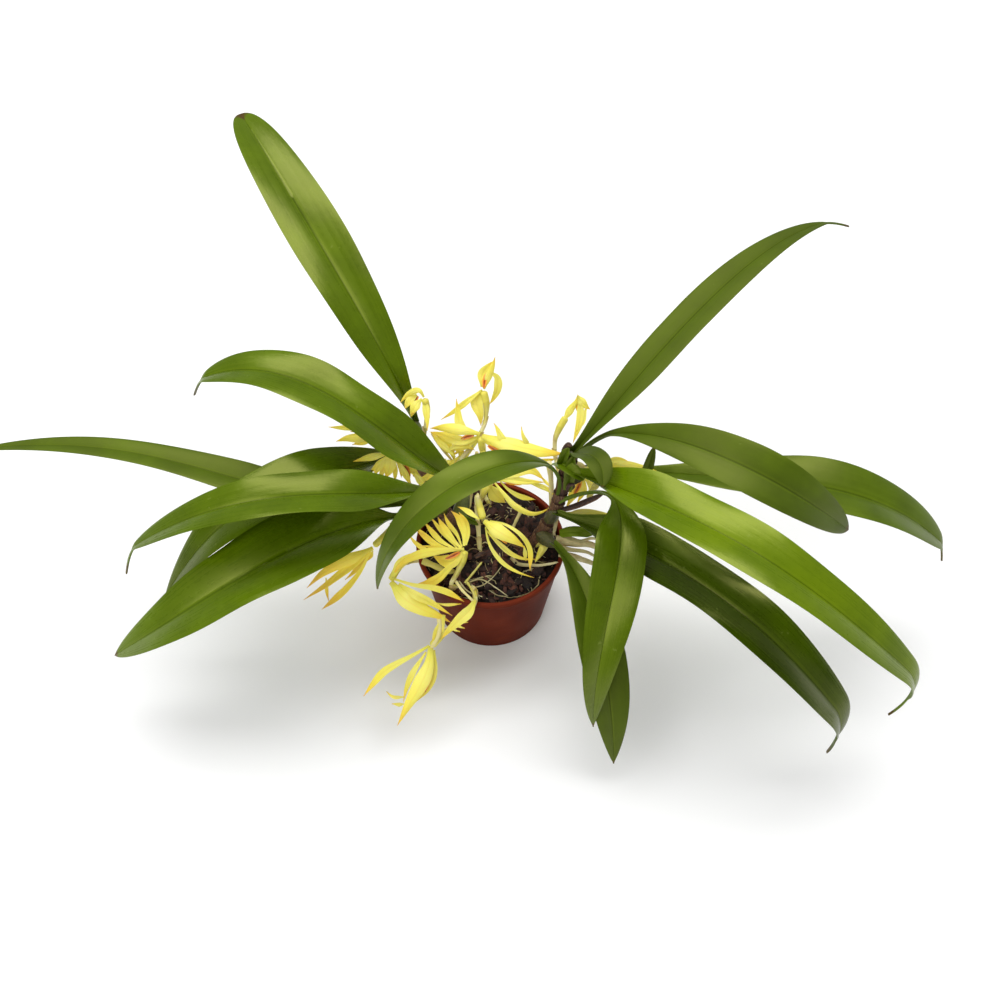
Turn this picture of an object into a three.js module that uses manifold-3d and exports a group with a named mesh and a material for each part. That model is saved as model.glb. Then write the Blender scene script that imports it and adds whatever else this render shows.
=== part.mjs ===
// A yellow-flowered spider orchid, rooted in bark in a small red-brown plastic pot.
// Millimetres, +Z up. The origin is the middle of the pot's underside, and the plant is
// seen from its front when looking along +Y with +X to the right.
import * as THREE from "three";
import { mergeVertices } from "three/addons/utils/BufferGeometryUtils.js";
import Module from "manifold-3d";

const wasm = await Module();
wasm.setup();

// Driving dimensions

const CLEARANCE = 0.35; // left round every root and stem where it stands in another piece

// The round hole that the folded foot of a leaf stands in.
const SOCKET = { radius: 2.6, rise: 0.4, below: 1, depth: 16 };

const POT = {
  height: 78,
  rimRadius: 52.5,
  footRadius: 40,
  lipHeight: 4.5,
  lipOut: 1.6,
  wall: 1.6,
  sides: 30,
  drainHoles: 5,
  drainRadius: 4,
  drainCircle: 25,
};

const MIX = {
  edgeHeight: 71,
  moundHeight: 13,
  sides: 24,
  chips: 18,
  chipSize: [15, 9, 6],
  chipTilt: 0.7,
  chipSink: 0.5,
};
const GOLDEN_TURN = 2.39996; // from one chip to the next round the pot, in radians

// The creeping stems, from inside the bark to their tips, where the right one is a stout head of
// sheaths that holds the feet of its upper leaves.
const RHIZOMES = {
  right: { radius: 4.6, head: 8,
    path: [[20, -6, 64], [34, -1, 88], [45, 6, 112], [50, 12, 136], [54, 15, 164]] },
  left: { radius: 4.6, head: 5,
    path: [[-10, 0, 64], [-26, 8, 88], [-38, 18, 102], [-48, 40, 112], [-52, 60, 119]] },
};

// A stem widens to its head between two shares of its length, and its end is drawn in.
const STEM = { headFrom: 0.75, headTo: 0.9, endFrom: 0.97, endShare: 0.6, sides: 8, steps: 10 };

// Pale air roots of the right stem that creep out over the rim.
const AIR_ROOTS = [
  { radius: 1.8, path: [[40, 2, 96], [55, -8, 92], [77, -10, 88]] },
  { radius: 1.5, path: [[34, -4, 88], [48, -24, 87], [74, -18, 82]] },
  { radius: 1.4, path: [[40, 0, 94], [62, 3, 97], [84, 6, 95]] },
];

const BULB = { wide: 13, thick: 10, overlap: 4 };

const LEAF = { thick: 1.3, petiole: 2.6, foldBase: 62, foldInner: 22, foldOuter: 6 };

// Each leaf's midrib runs through four points from base to tip. The blade widens as far as fill
// and narrows from belly on, both shares of its length; taper and point shape its outer end, and
// hook is how far the drawn-out tip bends away. Foot is the point on the creeping stem that its
// bulb grows from, where it has a bulb of its own.
const LEAVES = [
  { name: "leaf_back_left", width: 42, fill: 0.62, belly: 0.52, taper: 2.8, point: 0.45, hook: [0, 0, 0],
    stem: "left", foot: [-51, 56, 117],
    rib: [[-54, 70, 128], [-77, 88, 190], [-123, 152, 238], [-175, 242, 255]] },
  { name: "leaf_left_arched", width: 40, fill: 0.32, belly: 0.5, taper: 2, point: 0.5, hook: [-1, 2, -14],
    stem: "left", foot: [-24, 8, 86],
    rib: [[-17, 29, 100], [-70, 25, 172], [-130, 48, 200], [-200, 62, 178]] },
  { name: "leaf_far_left", width: 27, fill: 0.35, belly: 0.45, taper: 1.1, point: 0.6, hook: [0, 0, 0],
    rib: [[-40, 17, 104], [-135, 1, 136], [-228, 20, 152], [-358, 43, 128]] },
  { name: "leaf_left_behind", width: 42, fill: 0.35, belly: 0.5, taper: 1.7, point: 0.8, hook: [0, 0, 0],
    stem: "left", foot: [-47, 38, 111],
    rib: [[-62, 49, 118], [-109, 1, 157], [-162, -26, 154], [-221, -52, 86]] },
  { name: "leaf_left_over", width: 34, fill: 0.32, belly: 0.4, taper: 2, point: 0.6, hook: [2, -6, -12],
    stem: "left", foot: [-33, 13, 96],
    rib: [[-37, 8, 128], [-95, -31, 180], [-162, -41, 182], [-244, -41, 124]] },
  { name: "leaf_left_low", width: 54, fill: 0.3, belly: 0.45, taper: 1.7, point: 0.68, hook: [0, 0, 0],
    stem: "left", foot: [-34, 14, 98],
    rib: [[-62, 5, 100], [-118, -38, 136], [-181, -72, 124], [-254, -84, 66]] },
  { name: "leaf_front_left", width: 28, fill: 0.55, belly: 0.5, taper: 1.3, point: 1.1, hook: [0, 0, 0],
    rib: [[44, 8, 120], [20, -24, 200], [-30, -44, 196], [-73, -61, 115]] },
  { name: "leaf_back_right", width: 26, fill: 0.42, belly: 0.5, taper: 1.5, point: 0.7, hook: [6, 1, -5],
    rib: [[56, 19, 158], [102, 52, 205], [172, 123, 226], [248, 187, 205]] },
  { name: "leaf_right_arched", width: 37, fill: 0.66, belly: 0.6, taper: 2.2, point: 0.6, hook: [0, 0, 0],
    rib: [[59, 15, 157], [110, 1, 198], [169, -31, 202], [235, -34, 141]] },
  { name: "leaf_right_behind", width: 42, fill: 0.58, belly: 0.6, taper: 2.2, point: 0.5, hook: [0, -4, -9],
    stem: "right", foot: [51, 11, 136],
    rib: [[68, 21, 138], [158, 0, 156], [239, -10, 150], [314, -17, 95]] },
  { name: "leaf_right_long", width: 39, fill: 0.22, belly: 0.45, taper: 2.2, point: 0.5, hook: [-21, -3, -15],
    rib: [[47, 9, 153], [131, -57, 186], [207, -102, 166], [286, -122, 75]] },
  { name: "leaf_right_low", width: 39, fill: 0.3, belly: 0.55, taper: 2.8, point: 0.45, hook: [-12, -3, -14],
    stem: "right", foot: [41, 3, 103],
    rib: [[44, 1, 112], [119, -50, 131], [179, -99, 122], [240, -135, 44]] },
  { name: "leaf_front_folded", width: 35, fill: 0.6, belly: 0.55, taper: 2, point: 0.9, hook: [0, 0, 0],
    rib: [[47, 4, 120], [85, -23, 148], [77, -85, 126], [69, -129, 50]] },
  { name: "leaf_front_right", width: 32, fill: 0.45, belly: 0.5, taper: 2, point: 0.9, hook: [0, 0, 0],
    stem: "right", foot: [35, -1, 90],
    rib: [[43, -17, 100], [63, -58, 102], [77, -104, 74], [84, -142, 20]] },
  { name: "leaf_short", width: 16, fill: 0.4, belly: 0.5, taper: 3, point: 0.6, hook: [0, 0, 0],
    rib: [[55, 11, 161], [63, 0, 180], [70, -11, 185], [72, -25, 180]] },
  { name: "leaf_sprout", width: 8, fill: 0.7, belly: 0.78, taper: 3, point: 0.6, hook: [0, 0, 0],
    rib: [[57, 8, 148], [86, 1, 158], [99, -7, 164], [107, 8, 178]] },
];

const STALK = { radius: 1.3, ovaryRadius: 2.5, ovaryLength: 13, beyond: 2 };
const TEPAL = { thick: 0.9, fold: 18, tipWidth: 0.9, below: 1 };
const LIP = { start: 2.4, length: 14, out: 3, width: 4, thick: 1, fold: 30 };

// The side of the bloom that its lip hangs on, clear of the tepals.
const LIP_TURN = { caged: 180, starred: 180, hooded: 180, nodding: 114, trailing: 180 };

// How the three sepals and two petals of a bloom stand. Turn is the side of the bloom that a
// tepal springs from; middle and tip give how far along and how far out from the bloom's axis
// they lie, as shares of its length.
const HABITS = {
  caged: [
    { turn: 0, middle: [0.5, 0.16], tip: [1, 0.06], width: 11 },
    { turn: 125, middle: [0.47, 0.22], tip: [0.98, 0.1], width: 9 },
    { turn: 235, middle: [0.48, 0.2], tip: [0.88, 0.2], width: 9 },
    { turn: 60, middle: [0.42, 0.13], tip: [0.85, 0.03], width: 6.5 },
    { turn: 300, middle: [0.4, 0.15], tip: [0.8, 0.14], width: 6.5 },
  ],
  starred: [
    { turn: 0, middle: [0.45, 0.2], tip: [0.85, 0.5], width: 10 },
    { turn: 120, middle: [0.4, 0.3], tip: [0.8, 0.7], width: 9 },
    { turn: 240, middle: [0.42, 0.28], tip: [0.75, 0.72], width: 9 },
    { turn: 60, middle: [0.4, 0.12], tip: [0.8, 0.25], width: 6.5 },
    { turn: 300, middle: [0.42, 0.15], tip: [0.75, 0.38], width: 6.5 },
  ],
  hooded: [
    { turn: 0, middle: [0.45, 0.3], tip: [0.8, 0.12], width: 11 },
    { turn: 140, middle: [0.25, 0.5], tip: [0.3, 1], width: 9 },
    { turn: 220, middle: [0.25, 0.5], tip: [0.25, 1], width: 9 },
    { turn: 70, middle: [0.4, 0.2], tip: [0.55, 0.5], width: 6.5 },
    { turn: 290, middle: [0.4, 0.2], tip: [0.6, 0.45], width: 6.5 },
  ],
  nodding: [
    { turn: 0, middle: [0.5, 0.14], tip: [1, 0.06], width: 10 },
    { turn: 145, middle: [0.35, 0.4], tip: [-0.6, 0.5], width: 8 },
    { turn: 230, middle: [0.4, 0.3], tip: [-0.5, 0.4], width: 8 },
    { turn: 290, middle: [0.45, 0.16], tip: [0.5, 0.3], width: 6 },
    { turn: 70, middle: [0.45, 0.12], tip: [0.3, 0.35], width: 6 },
  ],
  trailing: [
    { turn: 0, middle: [0.5, 0.06], tip: [1, 0.02], width: 10 },
    { turn: 95, middle: [0.42, 0.37], tip: [0.86, 0.6], width: 7 },
    { turn: 240, middle: [0.45, 0.12], tip: [0.82, 0.1], width: 9 },
    { turn: 50, middle: [0.42, 0.14], tip: [0.7, 0.3], width: 5.5 },
    { turn: 300, middle: [0.4, 0.12], tip: [0.72, 0.16], width: 5.5 },
  ],
};

// Each bloom's stalk comes from its root over its bend to its base, and it faces its aim. Spin
// turns it about that direction, and open widens or closes its habit.
const BLOOMS = [
  { name: "bloom_back", habit: "hooded", length: 26, open: 0.9, spin: 0,
    root: [-50, 54, 114], bend: [-38, 70, 136], base: [-43, 60, 168], aim: [-16, -8, -6] },
  { name: "bloom_top", habit: "nodding", length: 32, open: 1, spin: 210,
    root: [-40, 26, 102], bend: [-36, 58, 132], base: [-6, 78, 150], aim: [9, 10, 22] },
  { name: "bloom_mid_left", habit: "caged", length: 40, open: 1.2, spin: 0,
    root: [-16, 24, 78], bend: [-6, 40, 108], base: [-4, 44, 138], aim: [-28, 6, 12] },
  { name: "bloom_mid_right", habit: "caged", length: 56, open: 0.7, spin: 0,
    root: [0, 30, 78], bend: [-12, 50, 108], base: [0, 50, 140], aim: [50, -20, 8] },
  { name: "bloom_mid_low", habit: "starred", length: 32, open: 1, spin: 30,
    root: [-24, 20, 76], bend: [-11, 26, 100], base: [-14, 38, 122], aim: [-20, 2, -4] },
  { name: "bloom_back_right", habit: "nodding", length: 26, open: 1, spin: 240,
    root: [50, 13, 130], bend: [43, 36, 130], base: [50, 54, 152], aim: [10, 10, 16] },
  { name: "bloom_middle", habit: "caged", length: 45, open: 1.3, spin: 20,
    root: [-2, 18, 78], bend: [-12, 22, 104], base: [0, 19, 126], aim: [46, -14, -4] },
  { name: "bloom_front", habit: "caged", length: 50, open: 1, spin: -35,
    root: [-7, -14, 78], bend: [-9, -10, 98], base: [-5, -3, 112], aim: [33, -35, -15] },
  { name: "bloom_front_left", habit: "starred", length: 46, open: 1, spin: 0,
    root: [-14, -32, 74], bend: [-8, -27, 86], base: [-17, -19, 99], aim: [-30, -4, 16] },
  { name: "bloom_rim_left", habit: "caged", length: 54, open: 1, spin: 0,
    root: [-36, -10, 74], bend: [-60, -18, 92], base: [-69, -34, 88], aim: [48, -28, 0] },
  { name: "bloom_low", habit: "trailing", length: 58, open: 1, spin: -60,
    root: [-14, -34, 74], bend: [-9, -57, 91], base: [-41, -77, 65], aim: [-25, -41, -42] },
  { name: "bloom_left", habit: "caged", length: 54, open: 1.1, spin: 0,
    root: [-34, 10, 96], bend: [-56, -6, 91], base: [-83, -11, 92], aim: [-44, -30, -26] },
  { name: "bloom_under_left", habit: "starred", length: 30, open: 0.8, spin: 0,
    root: [-43, 28, 106], bend: [-52, 30, 130], base: [-61, 22, 155], aim: [-27, -17, 7] },
  { name: "bloom_behind_left", habit: "caged", length: 40, open: 0.8, spin: 0,
    root: [-51, 50, 116], bend: [-50, 44, 142], base: [-71, 44, 152], aim: [-40, 2, -2] },
  { name: "bloom_right", habit: "caged", length: 42, open: 0.6, spin: 0,
    root: [54, 13, 142], bend: [66, 18, 150], base: [80, 14, 154], aim: [40, -10, 3] },
  { name: "bloom_right_low", habit: "caged", length: 30, open: 0.8, spin: 0,
    root: [51, 14, 150], bend: [70, 35, 146], base: [64, 30, 118], aim: [-11, -14, -18] },
];

// Buds that are still shut, each on its stalk from root to base, pointing to its tip.
const BUDS = [
  { name: "bud_right", radius: 3.4, root: [43, 4, 106], base: [58, 4, 108], tip: [84, 4, 106] },
  { name: "bud_front", radius: 3, root: [30, -4, 78], base: [38, -10, 92], tip: [31, -22, 86] },
];

// Solids from points

const vec = (p) => new THREE.Vector3(...p);
const radians = THREE.MathUtils.degToRad;
const smoothstep = THREE.MathUtils.smoothstep;

// A list of triangles, each three points, as one manifold-3d solid.
function solidFromTriangles(triangles) {
  const geometry = new THREE.BufferGeometry().setFromPoints(triangles.flat());
  return solidFromGeometry(geometry);
}

function solidFromGeometry(source) {
  const geometry = source.index ? source.toNonIndexed() : source.clone();
  geometry.deleteAttribute("normal");
  geometry.deleteAttribute("uv");
  const merged = mergeVertices(geometry, 1e-4);
  return new wasm.Manifold(
    new wasm.Mesh({
      numProp: 3,
      vertProperties: merged.attributes.position.array,
      triVerts: new Uint32Array(merged.index.array),
    }),
  );
}

function geometryFromSolid(solid) {
  const { numProp, numVert, vertProperties, triVerts } = solid.getMesh();
  const positions = new Float32Array(numVert * 3);
  for (let i = 0; i < numVert; i++) {
    positions.set(vertProperties.subarray(i * numProp, i * numProp + 3), i * 3);
  }
  const geometry = new THREE.BufferGeometry();
  geometry.setAttribute("position", new THREE.BufferAttribute(positions, 3));
  geometry.setIndex(new THREE.BufferAttribute(triVerts, 1));
  geometry.computeVertexNormals();
  return geometry;
}

// A round bar along a curve, whose radius at each share of its length is radiusAt.
function tube(curve, radiusAt, sides, steps) {
  const frames = curve.computeFrenetFrames(steps, false);
  const rings = Array.from({ length: steps + 1 }, (_, i) => {
    const centre = curve.getPointAt(i / steps);
    const radius = radiusAt(i / steps);
    return Array.from({ length: sides }, (_, j) => {
      const turn = (2 * Math.PI * j) / sides;
      return centre
        .clone()
        .addScaledVector(frames.normals[i], radius * Math.cos(turn))
        .addScaledVector(frames.binormals[i], radius * Math.sin(turn));
    });
  });
  const triangles = [];
  for (let i = 0; i < steps; i++) {
    for (let j = 0; j < sides; j++) {
      const k = (j + 1) % sides;
      triangles.push([rings[i][j], rings[i][k], rings[i + 1][k]]);
      triangles.push([rings[i][j], rings[i + 1][k], rings[i + 1][j]]);
    }
  }
  for (let j = 1; j < sides - 1; j++) {
    triangles.push([rings[0][0], rings[0][j + 1], rings[0][j]]);
    triangles.push([rings[steps][0], rings[steps][j], rings[steps][j + 1]]);
  }
  return solidFromTriangles(triangles);
}

// A thin blade. Each section gives its points across the blade, from the right margin to the
// left, on the upper and the lower face; both faces share the margins' points and are split
// along the same diagonals, so they never cross.
function bladeFromSections(sections) {
  const last = sections[0].top.length - 1;
  const triangles = [];
  for (let i = 0; i + 1 < sections.length; i++) {
    const [a, b] = [sections[i], sections[i + 1]];
    for (let c = 0; c < last; c++) {
      triangles.push([a.top[c], b.top[c], b.top[c + 1]]);
      triangles.push([a.top[c], b.top[c + 1], a.top[c + 1]]);
      triangles.push([a.under[c], b.under[c + 1], b.under[c]]);
      triangles.push([a.under[c], a.under[c + 1], b.under[c + 1]]);
    }
  }
  const cap = ({ top, under }, flip) => {
    for (let c = 0; c < last; c++) {
      const faces = [];
      if (c < last - 1) faces.push([top[c], top[c + 1], under[c + 1]]);
      if (c > 0) faces.push([top[c], under[c + 1], under[c]]);
      faces.forEach((f) => triangles.push(flip ? f.reverse() : f));
    }
  };
  cap(sections[0], false);
  cap(sections.at(-1), true);
  return solidFromTriangles(triangles);
}

// One section of a blade that is folded along its midrib. Across runs from -1 to 1; the
// slope of each half goes from inner at the midrib to outer at the margin, in degrees.
function foldedSection(centre, side, up, half, inner, outer, thick, columns) {
  const top = [];
  const under = [];
  for (let c = 0; c <= columns; c++) {
    const across = (2 * c) / columns - 1;
    const reach = Math.abs(across);
    const steps = Math.round((reach * columns) / 2);
    let [out, rise, slope] = [0, 0, radians(inner)];
    for (let k = 0; k < steps; k++) {
      slope = radians(inner + ((outer - inner) * (2 * k + 1)) / columns);
      out += (half * Math.cos(slope) * 2) / columns;
      rise += (half * Math.sin(slope) * 2) / columns;
    }
    const sign = Math.sign(across);
    const point = centre.clone().addScaledVector(side, sign * out).addScaledVector(up, rise);
    const normal = up.clone().multiplyScalar(Math.cos(slope));
    normal.addScaledVector(side, -sign * Math.sin(slope));
    let offset = (thick / 2) * Math.sqrt(1 - reach ** 2);
    if (reach === 0) {
      normal.copy(up);
      offset = (thick / 2) * Math.min(2.2, 1 / Math.cos(radians(inner)));
    }
    top.push(point.clone().addScaledVector(normal, offset));
    under.push(point.clone().addScaledVector(normal, -offset));
  }
  under[0] = top[0];
  under[columns] = top[columns];
  return { top, under };
}

// Leaves

const LEAF_STATIONS = [0, 0.05, 0.12, 0.2, 0.3, 0.4, 0.5, 0.6, 0.7, 0.78, 0.85, 0.91, 0.955, 0.985, 1];
const LEAF_COLUMNS = 4;
const HOOK_START = 0.88;

// The midrib is the cubic that passes its four points at equal shares of its length.
function leafMidrib(leaf, t) {
  const ends = leaf.rib.map(vec);
  const blend = (...shares) =>
    ends.reduce((sum, end, k) => sum.addScaledVector(end, shares[k]), new THREE.Vector3());
  const leaving = blend(-5 / 6, 3, -3 / 2, 1 / 3);
  const arriving = blend(1 / 3, -3 / 2, 3, -5 / 6);
  const point = new THREE.CubicBezierCurve3(ends[0], leaving, arriving, ends[3]).getPoint(t);
  return point.addScaledVector(vec(leaf.hook), Math.max(0, (t - HOOK_START) / (1 - HOOK_START)) ** 2);
}

function leafHalfWidth(leaf, t) {
  const widen = smoothstep(t, 0.03, leaf.fill) ** 0.75;
  const beyond = Math.max(0, Math.min(1, (t - leaf.belly) / (1 - leaf.belly)));
  const narrow = (1 - beyond ** leaf.taper) ** leaf.point;
  return Math.max(1, LEAF.petiole * (1 - widen) + (leaf.width / 2) * widen * narrow);
}

// The midrib's point at one place, and the side and up directions of the blade there.
function leafFrame(leaf, t) {
  const step = 0.004;
  const centre = leafMidrib(leaf, t);
  const tangent = leafMidrib(leaf, t + step).sub(leafMidrib(leaf, t - step)).normalize();
  const chord = vec(leaf.rib[3]).sub(vec(leaf.rib[0]));
  const side = new THREE.Vector3(0, 0, 1).cross(chord).normalize();
  side.addScaledVector(tangent, -side.dot(tangent)).normalize();
  return { centre, side, up: tangent.clone().cross(side) };
}

function leafSection(leaf, t) {
  const { centre, side, up } = leafFrame(leaf, t);
  const open = smoothstep(t, 0, 0.35);
  return foldedSection(
    centre,
    side,
    up,
    leafHalfWidth(leaf, t),
    LEAF.foldBase + (LEAF.foldInner - LEAF.foldBase) * open,
    LEAF.foldBase + (LEAF.foldOuter - LEAF.foldBase) * open,
    LEAF.thick,
    LEAF_COLUMNS,
  );
}

function leafSolid(leaf) {
  return bladeFromSections(LEAF_STATIONS.map((t) => leafSection(leaf, t)));
}

// The plain round socket that a leaf's foot stands in.
function leafSocket(leaf) {
  const length = vec(leaf.rib[3]).distanceTo(vec(leaf.rib[0]));
  const reach = Math.min(0.1, SOCKET.depth / length);
  const points = [-SOCKET.below / length, 0, reach / 2, reach].map((t) => {
    const { centre, up } = leafFrame(leaf, t);
    return centre.addScaledVector(up, SOCKET.rise);
  });
  return tube(new THREE.CatmullRomCurve3(points), () => SOCKET.radius, 8, 4);
}

// Blooms

const TEPAL_STATIONS = [0, 0.22, 0.46, 0.7, 0.88, 1];
const TEPAL_ROOT = 1.6; // how far from the bloom's axis a tepal springs

// The bloom's axis, and the direction straight out from it at a given turn.
function bloomFrame(bloom) {
  const axis = vec(bloom.aim).normalize();
  const level = new THREE.Vector3(0, 0, 1);
  const start = level.addScaledVector(axis, -level.dot(axis)).normalize();
  const outward = (turn) => start.clone().applyAxisAngle(axis, radians(turn + bloom.spin));
  return { axis, outward };
}

// One narrow blade whose centre line is a parabola in the plane of the axis and its outward
// direction, through its root, its middle and its tip.
function bladeAlong({ from, axis, out, root, middle, tip, halfAt, fold, thick, stations }) {
  const side = axis.clone().cross(out);
  const parabola = (a, b, c, s) => a + (4 * b - 3 * a - c) * s + (2 * a + 2 * c - 4 * b) * s * s;
  const at = (s) =>
    from
      .clone()
      .addScaledVector(axis, parabola(root[0], middle[0], tip[0], s))
      .addScaledVector(out, parabola(root[1], middle[1], tip[1], s));
  const step = 0.01;
  const sections = stations.map((s) => {
    const tangent = at(s + step).sub(at(s - step)).normalize();
    const up = tangent.clone().cross(side);
    return foldedSection(at(s), side, up, halfAt(s), fold, fold, thick, 2);
  });
  return bladeFromSections(sections);
}

function tepalSolid(bloom, tepal) {
  const { axis, outward } = bloomFrame(bloom);
  const [longways, outways] = [bloom.length, bloom.length * bloom.open];
  const halfAt = (s) => {
    const body = (tepal.width - TEPAL.tipWidth) / 2;
    return body * (0.3 + 0.7 * smoothstep(s, 0, 0.4)) * (1 - s ** 2.4) + TEPAL.tipWidth / 2;
  };
  return bladeAlong({
    from: vec(bloom.base),
    axis,
    out: outward(tepal.turn),
    root: [-TEPAL.below, TEPAL_ROOT],
    middle: [longways * tepal.middle[0], outways * tepal.middle[1]],
    tip: [longways * tepal.tip[0], outways * tepal.tip[1]],
    halfAt,
    fold: TEPAL.fold,
    thick: TEPAL.thick,
    stations: TEPAL_STATIONS,
  });
}

function lipSolid(bloom) {
  const { axis, outward } = bloomFrame(bloom);
  return bladeAlong({
    from: vec(bloom.base),
    axis,
    out: outward(LIP_TURN[bloom.habit]),
    root: [LIP.start, 0],
    middle: [LIP.length * 0.55, LIP.out * 0.3],
    tip: [LIP.length, LIP.out],
    halfAt: (s) => (LIP.width / 2) * (0.4 + 0.6 * Math.sin(Math.PI * s ** 0.8)),
    fold: LIP.fold,
    thick: LIP.thick,
    stations: [0, 0.35, 0.7, 1],
  });
}

// The stalk and the ovary that ends it, just inside the roots of the tepals.
function stalkSolid(bloom, grow) {
  const { axis } = bloomFrame(bloom);
  const base = vec(bloom.base);
  const neck = base.clone().addScaledVector(axis, -STALK.ovaryLength);
  const end = base.clone().addScaledVector(axis, STALK.beyond);
  const curve = new THREE.CatmullRomCurve3([vec(bloom.root), vec(bloom.bend), neck, base, end]);
  const share = STALK.ovaryLength / curve.getLength();
  const radiusAt = (s) => {
    const swell = smoothstep(s, 1 - 1.6 * share, 1 - 0.4 * share) - 0.5 * smoothstep(s, 0.985, 1);
    return STALK.radius + (STALK.ovaryRadius - STALK.radius) * swell + grow;
  };
  return tube(curve, radiusAt, 5, 8);
}

function bloomSolid(bloom) {
  const tepals = HABITS[bloom.habit].map((tepal) => tepalSolid(bloom, tepal));
  return tepals.reduce((solid, tepal) => solid.add(tepal), stalkSolid(bloom, 0));
}

function budSolid(bud, grow) {
  const curve = new THREE.CatmullRomCurve3([bud.root, bud.base, bud.tip].map(vec));
  const swellAt = (s) => bud.radius * Math.sin(Math.PI * Math.max(0, (s - 0.3) / 0.7) ** 0.7) ** 0.8;
  return tube(curve, (s) => Math.max(s > 0.9 ? 0.5 : STALK.radius, swellAt(s)) + grow, 6, 9);
}

// Creeping stems with their bulbs

const stemCurve = (name) => new THREE.CatmullRomCurve3(RHIZOMES[name].path.map(vec));

// A flattened egg from foot to top.
function bulbSolid(foot, top, grow) {
  const axis = top.clone().sub(foot);
  const length = axis.length() + 2 * BULB.overlap;
  const profile = [0, 0.16, 0.45, 0.82, 1].map((s) => {
    const swell = Math.sin(Math.PI * s ** 0.8) ** 0.8;
    return new THREE.Vector2((BULB.wide / 2) * swell, length * (s - 0.5));
  });
  profile[0].x = 0;
  profile.at(-1).x = 0;
  const egg = new THREE.LatheGeometry(profile, 7);
  egg.scale(1 + grow / 4, 1 + (2 * grow) / length, (BULB.thick / BULB.wide) * (1 + grow / 3));
  const upright = new THREE.Vector3(0, 1, 0);
  egg.applyQuaternion(new THREE.Quaternion().setFromUnitVectors(upright, axis.normalize()));
  const middle = foot.clone().add(top).multiplyScalar(0.5);
  egg.translate(middle.x, middle.y, middle.z);
  return solidFromGeometry(egg);
}

function rhizomeSolid(name, grow) {
  const curve = stemCurve(name);
  const { radius, head } = RHIZOMES[name];
  const taper = (s) => {
    const swell = smoothstep(s, STEM.headFrom, STEM.headTo);
    return (radius + (head - radius) * swell) * (s > STEM.endFrom ? STEM.endShare : 1) + grow;
  };
  let solid = tube(curve, taper, STEM.sides, STEM.steps);
  for (const leaf of LEAVES.filter((l) => l.stem === name)) {
    solid = solid.add(bulbSolid(vec(leaf.foot), vec(leaf.rib[0]), grow));
  }
  if (name === "right") {
    for (const root of AIR_ROOTS) {
      const taperEnd = (s) => root.radius * (1 - 0.5 * s) + grow;
      solid = solid.add(tube(new THREE.CatmullRomCurve3(root.path.map(vec)), taperEnd, 5, 5));
    }
  }
  return solid;
}

// Pot and bark

function potSolid() {
  const { height: top, rimRadius, footRadius, lipHeight, lipOut, wall, sides } = POT;
  const neck = rimRadius - lipOut;
  const profile = [
    [0, 0],
    [footRadius - 1, 0],
    [footRadius, 1],
    [neck, top - lipHeight - 1],
    [rimRadius, top - lipHeight],
    [rimRadius, top - 1.2],
    [rimRadius - 0.9, top],
    [neck - 0.6, top],
    [neck - wall, top - 1.4],
    [neck - wall, top - lipHeight - 1],
    [footRadius - wall, wall + 0.6],
    [footRadius - wall - 1, wall],
    [0, wall],
  ].map(([r, z]) => new THREE.Vector2(r, z));
  const body = new THREE.LatheGeometry(profile, sides).rotateX(Math.PI / 2);
  let solid = solidFromGeometry(body);
  for (let k = 0; k < POT.drainHoles; k++) {
    const turn = (2 * Math.PI * k) / POT.drainHoles;
    const drill = new THREE.CylinderGeometry(POT.drainRadius, POT.drainRadius, 3 * wall, 10);
    drill.rotateX(Math.PI / 2);
    drill.translate(POT.drainCircle * Math.cos(turn), POT.drainCircle * Math.sin(turn), wall / 2);
    solid = solid.subtract(solidFromGeometry(drill));
  }
  return solid;
}

// Repeats the same draws on every run.
function seededRandom(seed) {
  let state = seed;
  return () => {
    state = (state + 0x6d2b79f5) | 0;
    let t = Math.imul(state ^ (state >>> 15), 1 | state);
    t = (t + Math.imul(t ^ (t >>> 7), 61 | t)) ^ t;
    return ((t ^ (t >>> 14)) >>> 0) / 4294967296;
  };
}

function mixSolid() {
  const { wall, height, lipHeight, lipOut, rimRadius, footRadius } = POT;
  const gap = CLEARANCE;
  const neck = rimRadius - lipOut - wall - gap;
  const foot = footRadius - wall - gap;
  const share = (MIX.edgeHeight - wall) / (height - lipHeight - 1 - wall);
  const edge = foot + (neck - foot) * share - 0.2;
  const mound = (r) => MIX.edgeHeight + MIX.moundHeight * (1 - (r / edge) ** 2);
  const profile = [[0, wall + gap], [foot - 1.6, wall + gap], [foot - 0.4, wall + 1.6]];
  profile.push([edge, MIX.edgeHeight]);
  for (const r of [0.8, 0.5, 0.25]) profile.push([edge * r, mound(edge * r)]);
  profile.push([0, mound(0)]);
  const heap = new THREE.LatheGeometry(profile.map(([r, z]) => new THREE.Vector2(r, z)), MIX.sides);
  let solid = solidFromGeometry(heap.rotateX(Math.PI / 2));
  const random = seededRandom(7);
  for (let k = 0; k < MIX.chips; k++) {
    const turn = k * GOLDEN_TURN;
    const r = (edge - 10) * Math.sqrt((k + 0.5) / MIX.chips);
    const chip = new THREE.BoxGeometry(...MIX.chipSize.map((s) => s * (0.75 + 0.5 * random())));
    chip.rotateX(MIX.chipTilt * (random() - 0.5));
    chip.rotateY(MIX.chipTilt * (random() - 0.5));
    chip.rotateZ(2 * Math.PI * random());
    chip.translate(r * Math.cos(turn), r * Math.sin(turn), mound(r) - MIX.chipSink);
    solid = solid.add(solidFromGeometry(chip));
  }
  return solid;
}

// Assembly

const plant = new THREE.Group();

function addPiece(name, solid, colour, roughness) {
  const material = new THREE.MeshStandardMaterial({ color: colour, roughness, metalness: 0 });
  const mesh = new THREE.Mesh(geometryFromSolid(solid), material);
  mesh.name = name;
  plant.add(mesh);
}

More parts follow.
